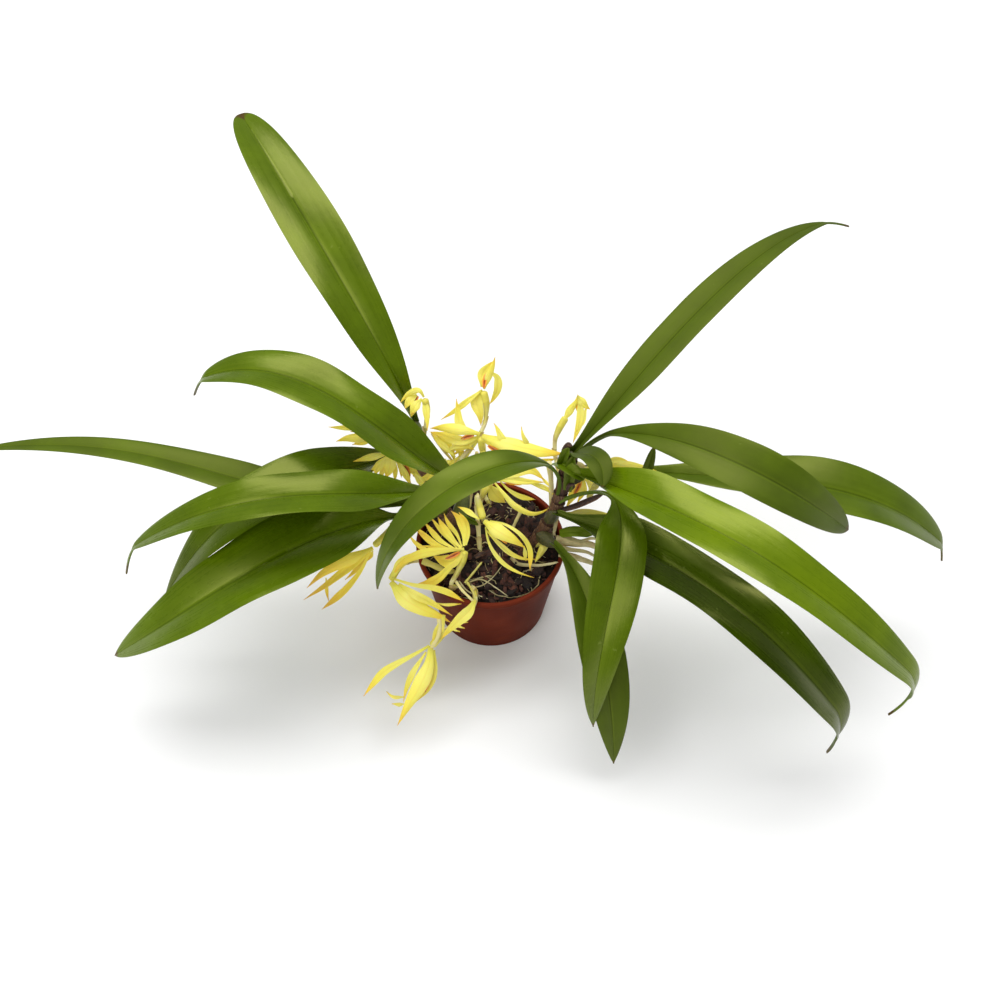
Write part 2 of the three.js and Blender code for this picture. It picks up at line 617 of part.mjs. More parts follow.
const stalkHoles = [
  ...BLOOMS.map((bloom) => stalkSolid(bloom, CLEARANCE)),
  ...BUDS.map((bud) => budSolid(bud, CLEARANCE)),
];
const sockets = [...LEAVES.map(leafSocket), ...stalkHoles];

// Cuts the holes, and drops any loose scrap that a cut leaves.
function cutBy(solid, cutters) {
  const bodies = cutters.reduce((s, cutter) => s.subtract(cutter), solid).decompose();
  return bodies.reduce((largest, body) => (body.volume() > largest.volume() ? body : largest));
}

addPiece("pot", potSolid(), 0x6a2d1c, 0.45);
const stemHoles = Object.keys(RHIZOMES).map((name) => rhizomeSolid(name, CLEARANCE));
addPiece("bark_mix", cutBy(mixSolid(), [...stemHoles, ...stalkHoles]), 0x2e1c14, 0.95);
for (const name of Object.keys(RHIZOMES)) {
  addPiece("rhizome_" + name, cutBy(rhizomeSolid(name, 0), sockets), 0x4f5a1e, 0.7);
}
for (const leaf of LEAVES) addPiece(leaf.name, leafSolid(leaf), 0x4d6a06, 0.35);
for (const bloom of BLOOMS) {
  addPiece(bloom.name, bloomSolid(bloom), 0xffe93c, 0.55);
  addPiece(bloom.name + "_lip", lipSolid(bloom), 0xe8821c, 0.5);
}
for (const bud of BUDS) addPiece(bud.name, budSolid(bud, 0), 0xd8d48a, 0.55);

export default plant;
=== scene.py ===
"""A yellow-flowered spider orchid in a small red-brown plastic pot, dressed for its picture.

Everything is in metres, +Z up, with the origin in the middle of the pot's underside. Places and
sizes of grown things are written in millimetres, as in the part's own source, and multiplied by MM.
"""
import math

import bpy
import numpy as np
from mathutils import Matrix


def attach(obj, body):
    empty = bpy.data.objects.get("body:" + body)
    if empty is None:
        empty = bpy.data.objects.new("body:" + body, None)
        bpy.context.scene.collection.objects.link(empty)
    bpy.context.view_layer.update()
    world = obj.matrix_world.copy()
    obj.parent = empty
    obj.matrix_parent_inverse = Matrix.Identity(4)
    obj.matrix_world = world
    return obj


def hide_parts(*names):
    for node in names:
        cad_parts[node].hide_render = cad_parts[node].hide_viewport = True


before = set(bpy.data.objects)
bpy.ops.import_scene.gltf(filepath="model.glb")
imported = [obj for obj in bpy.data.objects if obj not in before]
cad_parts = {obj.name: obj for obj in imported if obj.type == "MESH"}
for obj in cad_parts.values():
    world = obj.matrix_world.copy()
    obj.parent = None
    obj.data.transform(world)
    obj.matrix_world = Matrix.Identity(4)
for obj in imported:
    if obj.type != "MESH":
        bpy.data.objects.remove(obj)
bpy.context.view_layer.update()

MM = 0.001

# The camera looks down on the plant from the front, as the photograph does. Its lens takes in
# 38.8 degrees across a square picture.
CAMERA_PLACE = np.array([6.7, -549.4, 914.2]) * MM
CAMERA_DOWN = 55
LENS_SHARE = 1.419  # focal length as a share of the picture's width
SENSOR_WIDTH = 36
PICTURE = 1000  # pixels across the photograph, in which measured points are given

camera = bpy.data.objects.new("camera", bpy.data.cameras.new("camera"))
camera.location = CAMERA_PLACE
camera.rotation_euler = (math.radians(90 - CAMERA_DOWN), 0, 0)
camera.data.sensor_width = SENSOR_WIDTH
camera.data.lens = LENS_SHARE * SENSOR_WIDTH
bpy.context.scene.collection.objects.link(camera)
bpy.context.scene.camera = camera


def seen(points):
    """Places, in metres, of points measured on the photograph.

    Each is its pixels across and down and its height in millimetres: the place where the
    camera's line of sight through the pixel comes down to that height.
    """
    points = np.array(points, float)
    down = math.radians(CAMERA_DOWN)
    ahead = np.array([0, math.cos(down), -math.sin(down)])
    above = np.array([0, math.sin(down), math.cos(down)])
    across = (points[:, :1] - PICTURE / 2) / (LENS_SHARE * PICTURE)
    lift = (PICTURE / 2 - points[:, 1:2]) / (LENS_SHARE * PICTURE)
    sight = ahead + across * np.array([1, 0, 0]) + lift * above
    return CAMERA_PLACE + sight * (points[:, 2:] * MM - CAMERA_PLACE[2]) / sight[:, 2:]


# A plain white table in a dim white room. A long panel overhead gives most of the light, and shows
# as the sheen on the parts of the leaves that face it. A window in front only fills the shadows.
DOME_STRENGTH = 0.3
LAMP_AIM = np.array([0, 0, 0.12])
TABLE_REACH, TABLE_WHITE, TABLE_ROUGHNESS = 6, 0.94, 0.8
LAMPS = [
    {"name": "ceiling_panel", "place": (0, 0.9, 3.0), "size": (4.0, 1.7), "power": 102, "glint": 1.0},
    {"name": "front_window", "place": (-1.2, -1.6, 2.0), "size": (2.0, 2.0), "power": 32, "glint": 0.0},
]

world = bpy.data.worlds.new("studio")
bpy.context.scene.world = world
world.use_nodes = True
world.node_tree.nodes["Background"].inputs["Color"].default_value = (1, 1, 1, 1)
world.node_tree.nodes["Background"].inputs["Strength"].default_value = DOME_STRENGTH
bpy.context.scene.view_settings.view_transform = "Standard"

for lamp in LAMPS:
    light = bpy.data.lights.new(lamp["name"], "AREA")
    light.shape = "RECTANGLE"
    light.size, light.size_y = lamp["size"]
    light.energy = lamp["power"]
    light.specular_factor = lamp["glint"]
    holder = bpy.data.objects.new(lamp["name"], light)
    holder.location = lamp["place"]
    aim = LAMP_AIM - np.array(lamp["place"])
    flat = math.hypot(aim[0], aim[1])
    holder.rotation_euler = (math.atan2(flat, -aim[2]), 0, math.atan2(aim[1], aim[0]) - math.pi / 2)
    bpy.context.scene.collection.objects.link(holder)

floor_mesh = bpy.data.meshes.new("table")
table_corners = [(x * TABLE_REACH, y * TABLE_REACH, 0) for x, y in ((-1, -1), (1, -1), (1, 1), (-1, 1))]
floor_mesh.from_pydata(table_corners, [], [(0, 1, 2, 3)])
floor = bpy.data.objects.new("table", floor_mesh)
bpy.context.scene.collection.objects.link(floor)
white = bpy.data.materials.new("white_table")
white.use_nodes = True
white_shader = white.node_tree.nodes["Principled BSDF"]
white_shader.inputs["Base Color"].default_value = (TABLE_WHITE, TABLE_WHITE, TABLE_WHITE, 1)
white_shader.inputs["Roughness"].default_value = TABLE_ROUGHNESS
floor_mesh.materials.append(white)


# The pot is one moulding of red-brown plastic, 1.6 mm thick, with a rolled rim, drawn here as
# one profile turned about the pot's axis and drilled with five drain holes.
POT_HEIGHT, RIM_RADIUS, FOOT_RADIUS = 78 * MM, 52.5 * MM, 40 * MM
LIP_HEIGHT, LIP_OUT, WALL = 4.5 * MM, 1.6 * MM, 1.6 * MM
LIP_SLOPE, CORNER_ROUND = 1 * MM, 1.2 * MM
FOOT_EDGE, FOOT_DRAFT, AXIS_GAP = 1 * MM, 0.1 * MM, 0.05 * MM
DRAIN_HOLES, DRAIN_RADIUS, DRAIN_CIRCLE = 5, 4 * MM, 25 * MM
POT_SIDES, DRAIN_SIDES = 144, 32
SHARP_ANGLE = 55  # degrees past which an edge is drawn sharp, on every piece


def colour(code):
    """The linear red, green and blue, with full cover, of a six-digit colour code."""
    shares = np.array([int(code[i:i + 2], 16) for i in (0, 2, 4)]) / 255
    linear = np.where(shares <= 0.04045, shares / 12.92, ((shares + 0.055) / 1.055) ** 2.4)
    return (*linear.tolist(), 1.0)


class Value:
    """A socket of a shader node that takes part in plain maths: each operator adds a Math node."""

    def __init__(self, finish, socket):
        self.finish = finish
        self.socket = socket

    def maths(self, operation, first, second):
        return self.finish.node("ShaderNodeMath", {"operation": operation}, {0: first, 1: second})

    def __add__(self, other):
        return self.maths("ADD", self, other)

    def __radd__(self, other):
        return self.maths("ADD", other, self)

    def __sub__(self, other):
        return self.maths("SUBTRACT", self, other)

    def __rsub__(self, other):
        return self.maths("SUBTRACT", other, self)

    def __mul__(self, other):
        return self.maths("MULTIPLY", self, other)

    def __rmul__(self, other):
        return self.maths("MULTIPLY", other, self)

    def __abs__(self):
        return self.maths("ABSOLUTE", self, 0.0)


class Finish:
    """A material. Sockets that are the same all over are set from constants, and paint links the rest."""

    def __init__(self, name, constants):
        self.material = bpy.data.materials.new(name)
        self.material.use_nodes = True
        self.tree = self.material.node_tree
        self.shader = self.tree.nodes["Principled BSDF"]
        for socket, value in constants.items():
            self.shader.inputs[socket].default_value = value

    def node(self, kind, settings, sockets, output=0):
        """A new node with its settings made first and its sockets given values or links."""
        node = self.tree.nodes.new(kind)
        for name, value in settings.items():
            if name == "stops":
                first, last = node.color_ramp.elements
                first.position, first.color = value[0]
                last.position, last.color = value[-1]
                for place, tone in value[1:-1]:
                    node.color_ramp.elements.new(place).color = tone
            else:
                setattr(node, name, value)
        for name, value in sockets.items():
            if isinstance(value, Value):
                self.tree.links.new(value.socket, node.inputs[name])
            else:
                node.inputs[name].default_value = value
        return Value(self, node.outputs[output])

    def mark(self, name):
        """A number that the mesh carries at each point."""
        return self.node("ShaderNodeAttribute", {"attribute_name": name}, {}, output=2)

    def place(self, stretch=(1, 1, 1)):
        """Where a point is on the object, stretched along each axis."""
        here = self.node("ShaderNodeTexCoord", {}, {}, output=3)
        return self.node("ShaderNodeMapping", {}, {"Vector": here, "Scale": stretch})

    def noise(self, at, size, detail=3.0, rough=0.5):
        """Soft noise from 0 to 1 whose lumps are about size metres across."""
        sockets = {"Vector": at, "Scale": 1 / size, "Detail": detail, "Roughness": rough}
        return self.node("ShaderNodeTexNoise", {}, sockets)

    def step(self, value, low, high):
        """0 below low, 1 above high and smooth between."""
        settings = {"interpolation_type": "SMOOTHSTEP"}
        return self.node("ShaderNodeMapRange", settings, {0: value, 1: low, 2: high})

    def ramp(self, value, stops):
        """A colour for a value, from places and colour codes."""
        named = [(place, colour(code)) for place, code in stops]
        return self.node("ShaderNodeValToRGB", {"stops": named}, {0: value})

    def mix(self, share, first, second):
        """The first colour turned into the second by share."""
        return self.node("ShaderNodeMix", {"data_type": "RGBA"}, {0: share, 6: first, 7: second}, output=2)

    def relief(self, height, depth):
        """A bump whose height, from 0 to 1, stands for depth metres."""
        self.paint({"Normal": self.node("ShaderNodeBump", {}, {"Height": height, "Distance": depth})})

    def wave(self, turns):
        """A wave from 0 to 1 that comes round once for each whole number of turns."""
        sine = self.node("ShaderNodeMath", {"operation": "SINE"}, {0: turns * (2 * math.pi)})
        return sine * 0.5 + 0.5

    def paint(self, links):
        """Links values to the shader's own sockets."""
        for socket, value in links.items():
            self.tree.links.new(value.socket, self.shader.inputs[socket])


def faces_of(rings, steps, start):
    """The quads of a tube of rings whose points are numbered on from start, and its two ends.

    Point j of ring i is number start + i * steps + j, and each end is one many-sided face.
    """
    i, j = np.meshgrid(np.arange(rings - 1), np.arange(steps), indexing="ij")
    k = (j + 1) % steps
    quads = np.stack([i * steps + j, i * steps + k, (i + 1) * steps + k, (i + 1) * steps + j], -1)
    ends = [np.arange(steps)[::-1] + start, np.arange(steps) + (rings - 1) * steps + start]
    return quads.reshape(-1, 4) + start, ends


def turned_out(points):
    """Whether the faces of a closed tube of rings point outwards.

    Six times its volume is the sum of a . (b x c) over its triangles, seen from the rings' centre,
    and comes out negative where they point inwards.
    """
    centred = points - points.mean((0, 1))
    a, b = centred[:-1], np.roll(centred[:-1], -1, 1)
    d, c = centred[1:], np.roll(centred[1:], -1, 1)
    volume = (a * np.cross(b, c)).sum() + (a * np.cross(c, d)).sum()
    return volume >= 0


def make_piece(name, shells, finish, nodes=()):
    """One object from closed shells, each an array of rings by steps by 3 with its marks.

    Rings that run the wrong way are turned over, so that all faces point outwards.
    """
    corners, faces, marks, start = [], [], {}, 0
    for points, shell_marks in shells:
        rings, steps = points.shape[:2]
        if not turned_out(points):
            points = points[:, ::-1]
            shell_marks = {key: np.broadcast_to(value, (rings, steps))[:, ::-1]
                           for key, value in shell_marks.items()}
        quads, ends = faces_of(rings, steps, start)
        corners.append(points.reshape(-1, 3))
        faces += quads.tolist() + [end.tolist() for end in ends]
        for key, value in shell_marks.items():
            marks.setdefault(key, []).append(np.broadcast_to(value, (rings, steps)).ravel())
        start += rings * steps
    mesh = bpy.data.meshes.new(name)
    mesh.from_pydata(np.concatenate(corners), [], faces)
    for key, values in marks.items():
        attribute = mesh.attributes.new(key, "FLOAT", "POINT")
        attribute.data.foreach_set("value", np.concatenate(values).astype(np.float32))
    mesh.polygons.foreach_set("use_smooth", np.ones(len(mesh.polygons), bool))
    mesh.set_sharp_from_angle(angle=math.radians(SHARP_ANGLE))
    mesh.materials.append(finish.material)
    piece = bpy.data.objects.new(name, mesh)
    bpy.context.scene.collection.objects.link(piece)
    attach(piece, "root")
    if nodes:
        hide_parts(*nodes)
    return piece


def eased(corners, reach, steps=5):
    """An outline with each inner corner rounded by a quadratic arc that reaches so far either way."""
    corners = np.array(corners)
    t = np.linspace(0, 1, steps)[:, None]
    outline = [corners[:1]]
    for before, corner, after in zip(corners, corners[1:], corners[2:]):
        leave, arrive = before - corner, after - corner
        a = corner + leave * min(0.49, reach / np.linalg.norm(leave))
        b = corner + arrive * min(0.49, reach / np.linalg.norm(arrive))
        outline.append((1 - t) ** 2 * a + 2 * t * (1 - t) * corner + t ** 2 * b)
    return np.concatenate(outline + [corners[-1:]])


def round_turn(steps):
    """Even angles once round, in radians."""
    return 2 * np.pi * np.arange(steps) / steps


def turned(outline, sides):
    """An outline of radius and height turned about the Z axis into rings."""
    turn = round_turn(sides)
    radius, height = outline[:, :1], outline[:, 1:]
    return np.stack([radius * np.cos(turn), radius * np.sin(turn), height + 0 * turn], -1)


def pot_outline():
    """The pot's profile: out under its foot, up outside, over the rim and down inside to the middle."""
    neck = RIM_RADIUS - LIP_OUT
    corners = [
        (AXIS_GAP, 0),
        (FOOT_RADIUS, 0),
        (FOOT_RADIUS + FOOT_DRAFT, FOOT_EDGE),
        (neck, POT_HEIGHT - LIP_HEIGHT - LIP_SLOPE),
        (RIM_RADIUS, POT_HEIGHT - LIP_HEIGHT),
        (RIM_RADIUS, POT_HEIGHT),
        (neck - WALL, POT_HEIGHT),
        (neck - WALL, POT_HEIGHT - LIP_HEIGHT - LIP_SLOPE),
        (FOOT_RADIUS - WALL, WALL),
        (AXIS_GAP, WALL),
    ]
    return eased(corners, CORNER_ROUND)


def moulded_plastic():
    """Red-brown plastic: a soft shine, faint scuffs, a little lime where water dried, and a rim lightened
    towards its top as a painted highlight.
    """
    finish = Finish("red_brown_plastic", {"Specular IOR Level": 0.03})
    scuff = finish.noise(finish.place((1, 1, 14)), 12 * MM, 5.0, 0.6)
    cloud = finish.noise(finish.place(), 30 * MM)
    speck = finish.step(finish.noise(finish.place(), 1.6 * MM, 2.0), 0.66, 0.78)
    tone = finish.ramp(cloud * 0.7 + scuff * 0.3, [(0.3, "4c1607"), (0.5, "5e1f0b"), (0.72, "702a14")])
    up = finish.node("ShaderNodeSeparateXYZ", {}, {0: finish.place()}, output=2)
    # Painted highlight: the rim is lightened towards its top, standing in for the glints it catches.
    tone = finish.mix(finish.step(up, POT_HEIGHT - LIP_HEIGHT, POT_HEIGHT) * 0.3, tone, colour("8e402c"))
    limed = finish.mix(speck * finish.step(cloud, 0.5, 0.7) * 0.2, tone, colour("a58474"))
    finish.paint({"Base Color": limed, "Roughness": 0.38 + scuff * 0.2 + speck * 0.2})
    finish.relief(scuff * 0.6 + finish.noise(finish.place(), 0.7 * MM) * 0.4, 0.12 * MM)
    return finish


def drill_drains(piece):
    """Cuts the drain holes: cylinders on a circle, taken away by a Boolean that is applied at once."""
    turn = round_turn(DRAIN_HOLES)
    pole, top = 0.01 * MM, 2.5 * WALL
    outline = [(pole, -WALL), (DRAIN_RADIUS, -WALL), (DRAIN_RADIUS, top), (pole, top)]
    drill = turned(np.array(outline), DRAIN_SIDES)
    centres = DRAIN_CIRCLE * np.stack([np.cos(turn), np.sin(turn), 0 * turn], -1)
    cutter = make_piece("drills", [(drill + centre, {}) for centre in centres], pot_finish)
    cut = piece.modifiers.new("drains", "BOOLEAN")
    cut.operation = "DIFFERENCE"
    cut.object = cutter
    bpy.context.view_layer.update()
    drilled = bpy.data.meshes.new_from_object(piece.evaluated_get(bpy.context.evaluated_depsgraph_get()))
    piece.modifiers.clear()
    piece.data = drilled
    bpy.data.objects.remove(cutter)


pot_finish = moulded_plastic()
pot = make_piece("pot_moulding", [(turned(pot_outline(), POT_SIDES), {})], pot_finish, ["pot"])
drill_drains(pot)


# The potting bark is a mound of dark, torn chips of conifer bark that stands a little proud of
# the rim. One lumpy heap fills the pot, and the chips lie on it at all angles. One run of random
# numbers serves the chips and then the fine roots.
MIX_EDGE, MIX_MOUND = 71 * MM, 12 * MM
MIX_RADIUS = 48.4 * MM
HEAP_RINGS, HEAP_SIDES, HEAP_LUMPS = 46, 120, 0.9 * MM
CHIPS, CHIP_LENGTH = 420, (3 * MM, 15 * MM)
CHIP_RINGS, CHIP_SIDES = 8, 12
GOLDEN_TURN = 2.39996  # radians from one chip to the next, which spreads them evenly
CLEARANCE = 0.35 * MM

random = np.random.default_rng(11)


def unit(vectors):
    """The vectors scaled to a length of 1."""
    return vectors / np.linalg.norm(vectors, axis=-1, keepdims=True)


def ripple(points, size, seed, waves=14):
    """Smooth noise from about -1 to 1: the mean of waves in random directions, each about size long."""
    draw = np.random.default_rng(seed)
    heading = unit(draw.normal(size=(waves, 3)))
    length = size * draw.uniform(0.7, 1.6, waves)
    phase = draw.uniform(0, 2 * np.pi, waves)
    turns = points @ heading.T * (2 * np.pi / length) + phase
    return np.sin(turns).sum(-1) * 2.2 / waves


def mound_height(x, y):
    """The heap's height: a shallow dome over the pot's mouth."""
    return MIX_EDGE + MIX_MOUND * (1 - (x ** 2 + y ** 2) / MIX_RADIUS ** 2)


def heap_shell():
    """The heap's underside, its wall just inside the pot and its dome with lumps a few millimetres across."""
    foot = FOOT_RADIUS - WALL - CLEARANCE
    low = WALL + CLEARANCE
    share = np.linspace(1, 0.002, HEAP_RINGS)[:, None]
    dome = turned(np.hstack([MIX_RADIUS * share, mound_height(MIX_RADIUS * share, 0)]), HEAP_SIDES)
    lump = ripple(dome, 7 * MM, 3) + 0.5 * ripple(dome, 3 * MM, 4)
    dome[..., 2] += HEAP_LUMPS * lump * np.minimum(1, (1 - share) * 12)
    corners = [(0.1 * MM, low), (foot - 1.5 * MM, low), (foot - 0.3 * MM, low + 1.4 * MM)]
    sides = turned(np.array(corners), HEAP_SIDES)
    return np.concatenate([sides, dome])


def chip_shells():
    """Torn chips: balls pressed towards flat boxes, roughened, turned and laid on the mound."""
    shells = []
    lifts = np.linspace(-0.5, 0.5, CHIP_RINGS) * np.pi * 0.98
    lift, turn = np.meshgrid(lifts, round_turn(CHIP_SIDES), indexing="ij")
    ball = np.stack([np.cos(lift) * np.cos(turn), np.cos(lift) * np.sin(turn), np.sin(lift)], -1)
    boxy = np.sign(ball) * np.abs(ball) ** 0.5
    for k in range(CHIPS):
        length = CHIP_LENGTH[0] + (CHIP_LENGTH[1] - CHIP_LENGTH[0]) * random.uniform(0, 1) ** 1.6
        size = length * np.array([0.5, random.uniform(0.12, 0.3), random.uniform(0.05, 0.14)])
        rough = 1 + 0.3 * ripple(boxy + k, 0.7, 100 + k)[..., None]
        reach = (MIX_RADIUS - 0.45 * length) * math.sqrt((k + 0.5) / CHIPS)
        angle = k * GOLDEN_TURN
        x, y = reach * math.cos(angle), reach * math.sin(angle)
        tilt = random.normal(0, 0.5, 2)
        spin = random.uniform(0, np.pi)
        cosine, sine = math.cos(spin), math.sin(spin)
        turn_z = np.array([[cosine, -sine, 0], [sine, cosine, 0], [0, 0, 1]])
        lean = np.array([[1, 0, tilt[0]], [0, 1, tilt[1]], [-tilt[0], -tilt[1], 1]])
        place = np.array([x, y, mound_height(x, y) + random.uniform(-0.5, 2.2) * MM])
        chip = (boxy * rough * size) @ (turn_z.T @ lean.T) + place
        shells.append((chip, {"tone": random.uniform(0, 1)}))
    return shells


def torn_bark():
    """Dark conifer bark: brown to nearly black plates with pale worn ridges, and no shine."""
    finish = Finish("torn_bark", {"Coat Weight": 0.0})
    grain = finish.noise(finish.place((1, 1, 2.4)), 2.2 * MM, 6.0, 0.62)
    cloud = finish.noise(finish.place(), 9 * MM)
    tone = finish.ramp(grain * 0.55 + finish.mark("tone") * 0.3 + cloud * 0.15,
                       [(0.3, "0c0604"), (0.46, "24120b"), (0.6, "44241a"), (0.78, "7c4a36")])
    finish.paint({"Base Color": tone, "Roughness": 0.72 + grain * 0.25})
    finish.relief(grain, 0.9 * MM)
    return finish


heap = (heap_shell(), {"tone": 0.15})
make_piece("bark_chips", [heap, *chip_shells()], torn_bark(), ["bark_mix"])


# Fine pale roots wander over the bark and thicker air roots of the right stem reach out over the
# rim. They are round, chalky and a little crooked.
ROOTS, ROOT_LENGTH, ROOT_RADIUS = 84, (12 * MM, 44 * MM), (0.28 * MM, 0.62 * MM)
ROOT_ROWS, ROOT_SIDES, AIR_ROOT_ROWS, AIR_ROOT_SIDES = 18, 6, 60, 12
AIR_ROOT_CROOK, CROOK_LENGTH = 0.5 * MM, 13 * MM
CURVE_STEPS = 24  # points worked out between two given ones, on every path
AIR_ROOTS = [
    {"radius": 3.5, "line": [[556, 540, 98], [575, 543, 98], [590, 544, 97], [603, 550, 94]]},
    {"radius": 2.7, "line": [[560, 553, 94], [576, 557, 92], [597, 565, 86]]},
    {"radius": 1.7, "line": [[562, 547, 97], [574, 551, 96], [586, 552, 95], [598, 558, 90]]},
    {"radius": 1.5, "line": [[566, 537, 99], [580, 541, 100], [592, 538, 101], [604, 542, 98]]},
    {"radius": 1.7, "line": [[598, 551, 92], [622, 556, 90], [641, 563, 86], [651, 574, 78]]},
    {"radius": 1.5, "line": [[511, 557, 87], [519, 564, 86], [537, 565, 86], [558, 562, 88]]},
    {"radius": 1.7, "line": [[557, 516, 106], [555, 526, 100], [553, 537, 94]]},
    {"radius": 0.6, "line": [[468, 583, 79], [482, 580, 82], [496, 588, 82], [508, 596, 79]]},
    {"radius": 0.5, "line": [[474, 588, 80], [486, 583, 83], [495, 574, 85], [501, 566, 86]]},
    {"radius": 0.7, "line": [[452, 566, 80], [458, 580, 80], [470, 592, 79], [488, 599, 77]]},
]


def smooth_path(points, steps):
    """The centripetal Catmull-Rom curve through the points, at even distances along it.

    Each stretch is the cubic with the points' own tangents, where time between two points is
    the square root of their distance, and the ends carry on straight.
    """
    points = np.array(points, float)
    padded = np.vstack([2 * points[0] - points[1], points, 2 * points[-1] - points[-2]])
    s = np.linspace(0, 1, CURVE_STEPS)[:, None]
    stretches = []
    for a, b, c, d in zip(padded, padded[1:], padded[2:], padded[3:]):
        ab, bc, cd = (max(1e-6, math.sqrt(np.linalg.norm(q - p))) for p, q in ((a, b), (b, c), (c, d)))
        leave = bc * ((b - a) / ab - (c - a) / (ab + bc) + (c - b) / bc)
        arrive = bc * ((c - b) / bc - (d - b) / (bc + cd) + (d - c) / cd)
        stretches.append((2 * s ** 3 - 3 * s ** 2 + 1) * b + (s ** 3 - 2 * s ** 2 + s) * leave
                         + (3 * s ** 2 - 2 * s ** 3) * c + (s ** 3 - s ** 2) * arrive)
    dense = np.concatenate(stretches)
    run = np.concatenate([[0], np.cumsum(np.linalg.norm(np.diff(dense, axis=0), axis=1))])
    even = np.linspace(0, run[-1], steps)
    return np.stack([np.interp(even, run, dense[:, axis]) for axis in range(3)], -1)


def around(path, sides):
    """Unit directions all round a path, square to it at each point.

    The first of them is square, too, to the direction in which the path runs least.
    """
    ahead = unit(np.gradient(path, axis=0))
    steady = np.linalg.svd(ahead)[2][-1]
    side = unit(np.cross(ahead, steady))
    other = np.cross(ahead, side)
    turn = round_turn(sides)
    return side[:, None] * np.cos(turn)[:, None] + other[:, None] * np.sin(turn)[:, None]


def tube(path, radius, sides):
    """Rings of the given radii round a path."""
    return path[:, None] + np.reshape(radius, (-1, 1, 1)) * around(path, sides)


def wandering_roots():
    """Threads on the bark: each starts on the mound, and its heading drifts by a smooth random walk."""
    shells = []
    for k in range(ROOTS):
        length = random.uniform(*ROOT_LENGTH)
        heading = random.uniform(0, 2 * np.pi) + np.cumsum(random.normal(0, 0.34, ROOT_ROWS))
        reach = (MIX_RADIUS - 5 * MM) * math.sqrt(random.uniform(0.02, 1))
        angle = random.uniform(0, 2 * np.pi)
        start = reach * np.array([math.cos(angle), math.sin(angle)])
        walk = start + np.cumsum(np.stack([np.cos(heading), np.sin(heading)], -1), 0) * length / ROOT_ROWS
        far = np.linalg.norm(walk, axis=1)
        walk *= (np.minimum(far, MIX_RADIUS - 1.5 * MM) / far)[:, None]
        rise = random.uniform(0.6, 2.6) * MM
        rise = rise + 1.1 * MM * np.sin(np.linspace(0, random.uniform(5, 11), ROOT_ROWS))
        path = np.column_stack([walk, mound_height(walk[:, 0], walk[:, 1]) + rise])
        radius = random.uniform(*ROOT_RADIUS) * np.linspace(1, 0.45, ROOT_ROWS)
        shells.append((tube(path, radius, ROOT_SIDES), {"tone": random.uniform(0, 1)}))
    return shells


def air_root_shells():
    """Stout crooked roots that taper to a blunt tip."""
    shells = []
    for k, root in enumerate(AIR_ROOTS):
        path = smooth_path(seen(root["line"]), AIR_ROOT_ROWS)
        crooked = [ripple(path, CROOK_LENGTH, 40 + 3 * k + axis) for axis in range(3)]
        path += AIR_ROOT_CROOK * np.stack(crooked, -1)
        share = np.linspace(0, 1, AIR_ROOT_ROWS)
        radius = root["radius"] * MM * (1 - 0.5 * share) * np.minimum(1, (1 - share) * 14 + 0.25)
        shells.append((tube(path, radius, AIR_ROOT_SIDES), {"tone": 0.5 + 0.4 * share[:, None]}))
    return shells


def root_skin():
    """Chalky root skin, cream with brown stains."""
    finish = Finish("root_skin", {"Subsurface Weight": 0.05})
    stain = finish.noise(finish.place(), 5 * MM, 4.0)
    tone = finish.ramp(stain * 0.5 + finish.mark("tone") * 0.5,
                       [(0.2, "544126"), (0.4, "86744a"), (0.58, "b2a573"), (0.85, "d6cda0")])
    finish.paint({"Base Color": tone, "Roughness": 0.6 + stain * 0.25})
    finish.relief(finish.noise(finish.place(), 0.8 * MM), 0.15 * MM)
    return finish


root_finish = root_skin()
make_piece("fine_roots", wandering_roots(), root_finish)
make_piece("air_roots", air_root_shells(), root_finish)


# The creeping stems, or rhizomes, rise from the bark. Each is wrapped in overlapping dark papery
# sheaths, and slim flattened bulbs sit along it where leaves of their own grow.
RHIZOMES = {
    "right": {"radius": 3.6, "head": 3.8,
              "path": [[20, -6, 64], [34, -1, 88], [45, 6, 112], [50, 12, 136], [54, 15, 164]]},
    "left": {"radius": 4.6, "head": 5,
             "path": [[-10, 0, 64], [-26, 8, 88], [-38, 18, 102], [-48, 40, 112], [-52, 60, 119]]},
}
STEM_ROWS, STEM_SIDES, SPINE_ROWS = 90, 28, 300
SHEATHS, SHEATH_LENGTH, SHEATH_FLARE = 9, 0.2, 1.3 * MM
SHEATH_THICK, SHEATH_GAP, SHEATH_RIB = 0.35 * MM, 0.15 * MM, 0.18 * MM
SHEATH_ROWS, SHEATH_SIDES = 16, 40
BULB_WIDE, BULB_THICK, BULB_OVERLAP = 11 * MM, 9 * MM, 4 * MM
BULB_ROWS, BULB_SIDES = 40, 48
BULB_HUSK = {"right": 0.75, "left": 0.35}


def smoothstep(value, low, high):
    """0 below low, 1 above high, and 3x2 - 2x3 of the share between them."""
    x = np.clip((value - low) / (high - low), 0, 1)
    return x * x * (3 - 2 * x)


def stem_radius(stem, share):
    """The stem's radius: even, and widening to its head near the tip."""
    swell = smoothstep(share, 0.75, 0.9)
    return (stem["radius"] + (stem["head"] - stem["radius"]) * swell) * MM


def stem_core(stem):
    """The green stem itself, with a slight swelling at each joint and a rounded tip."""
    share = np.linspace(0, 1, STEM_ROWS)
    path = smooth_path(np.array(stem["path"]) * MM, STEM_ROWS)
    close = np.sqrt(np.clip((1 - share) / 0.05, 0.02, 1))
    radius = 0.93 * stem_radius(stem, share) * close * (1 + 0.05 * np.sin(SHEATHS * 2 * np.pi * share))
    return tube(path, radius, STEM_SIDES), {"paper": 0.7, "edge": 0.0}


def places_along(path, share):
    """The places at shares of the length of a path of even points."""
    number = share * (len(path) - 1)
    return np.stack([np.interp(number, np.arange(len(path)), path[:, axis]) for axis in range(3)], -1)


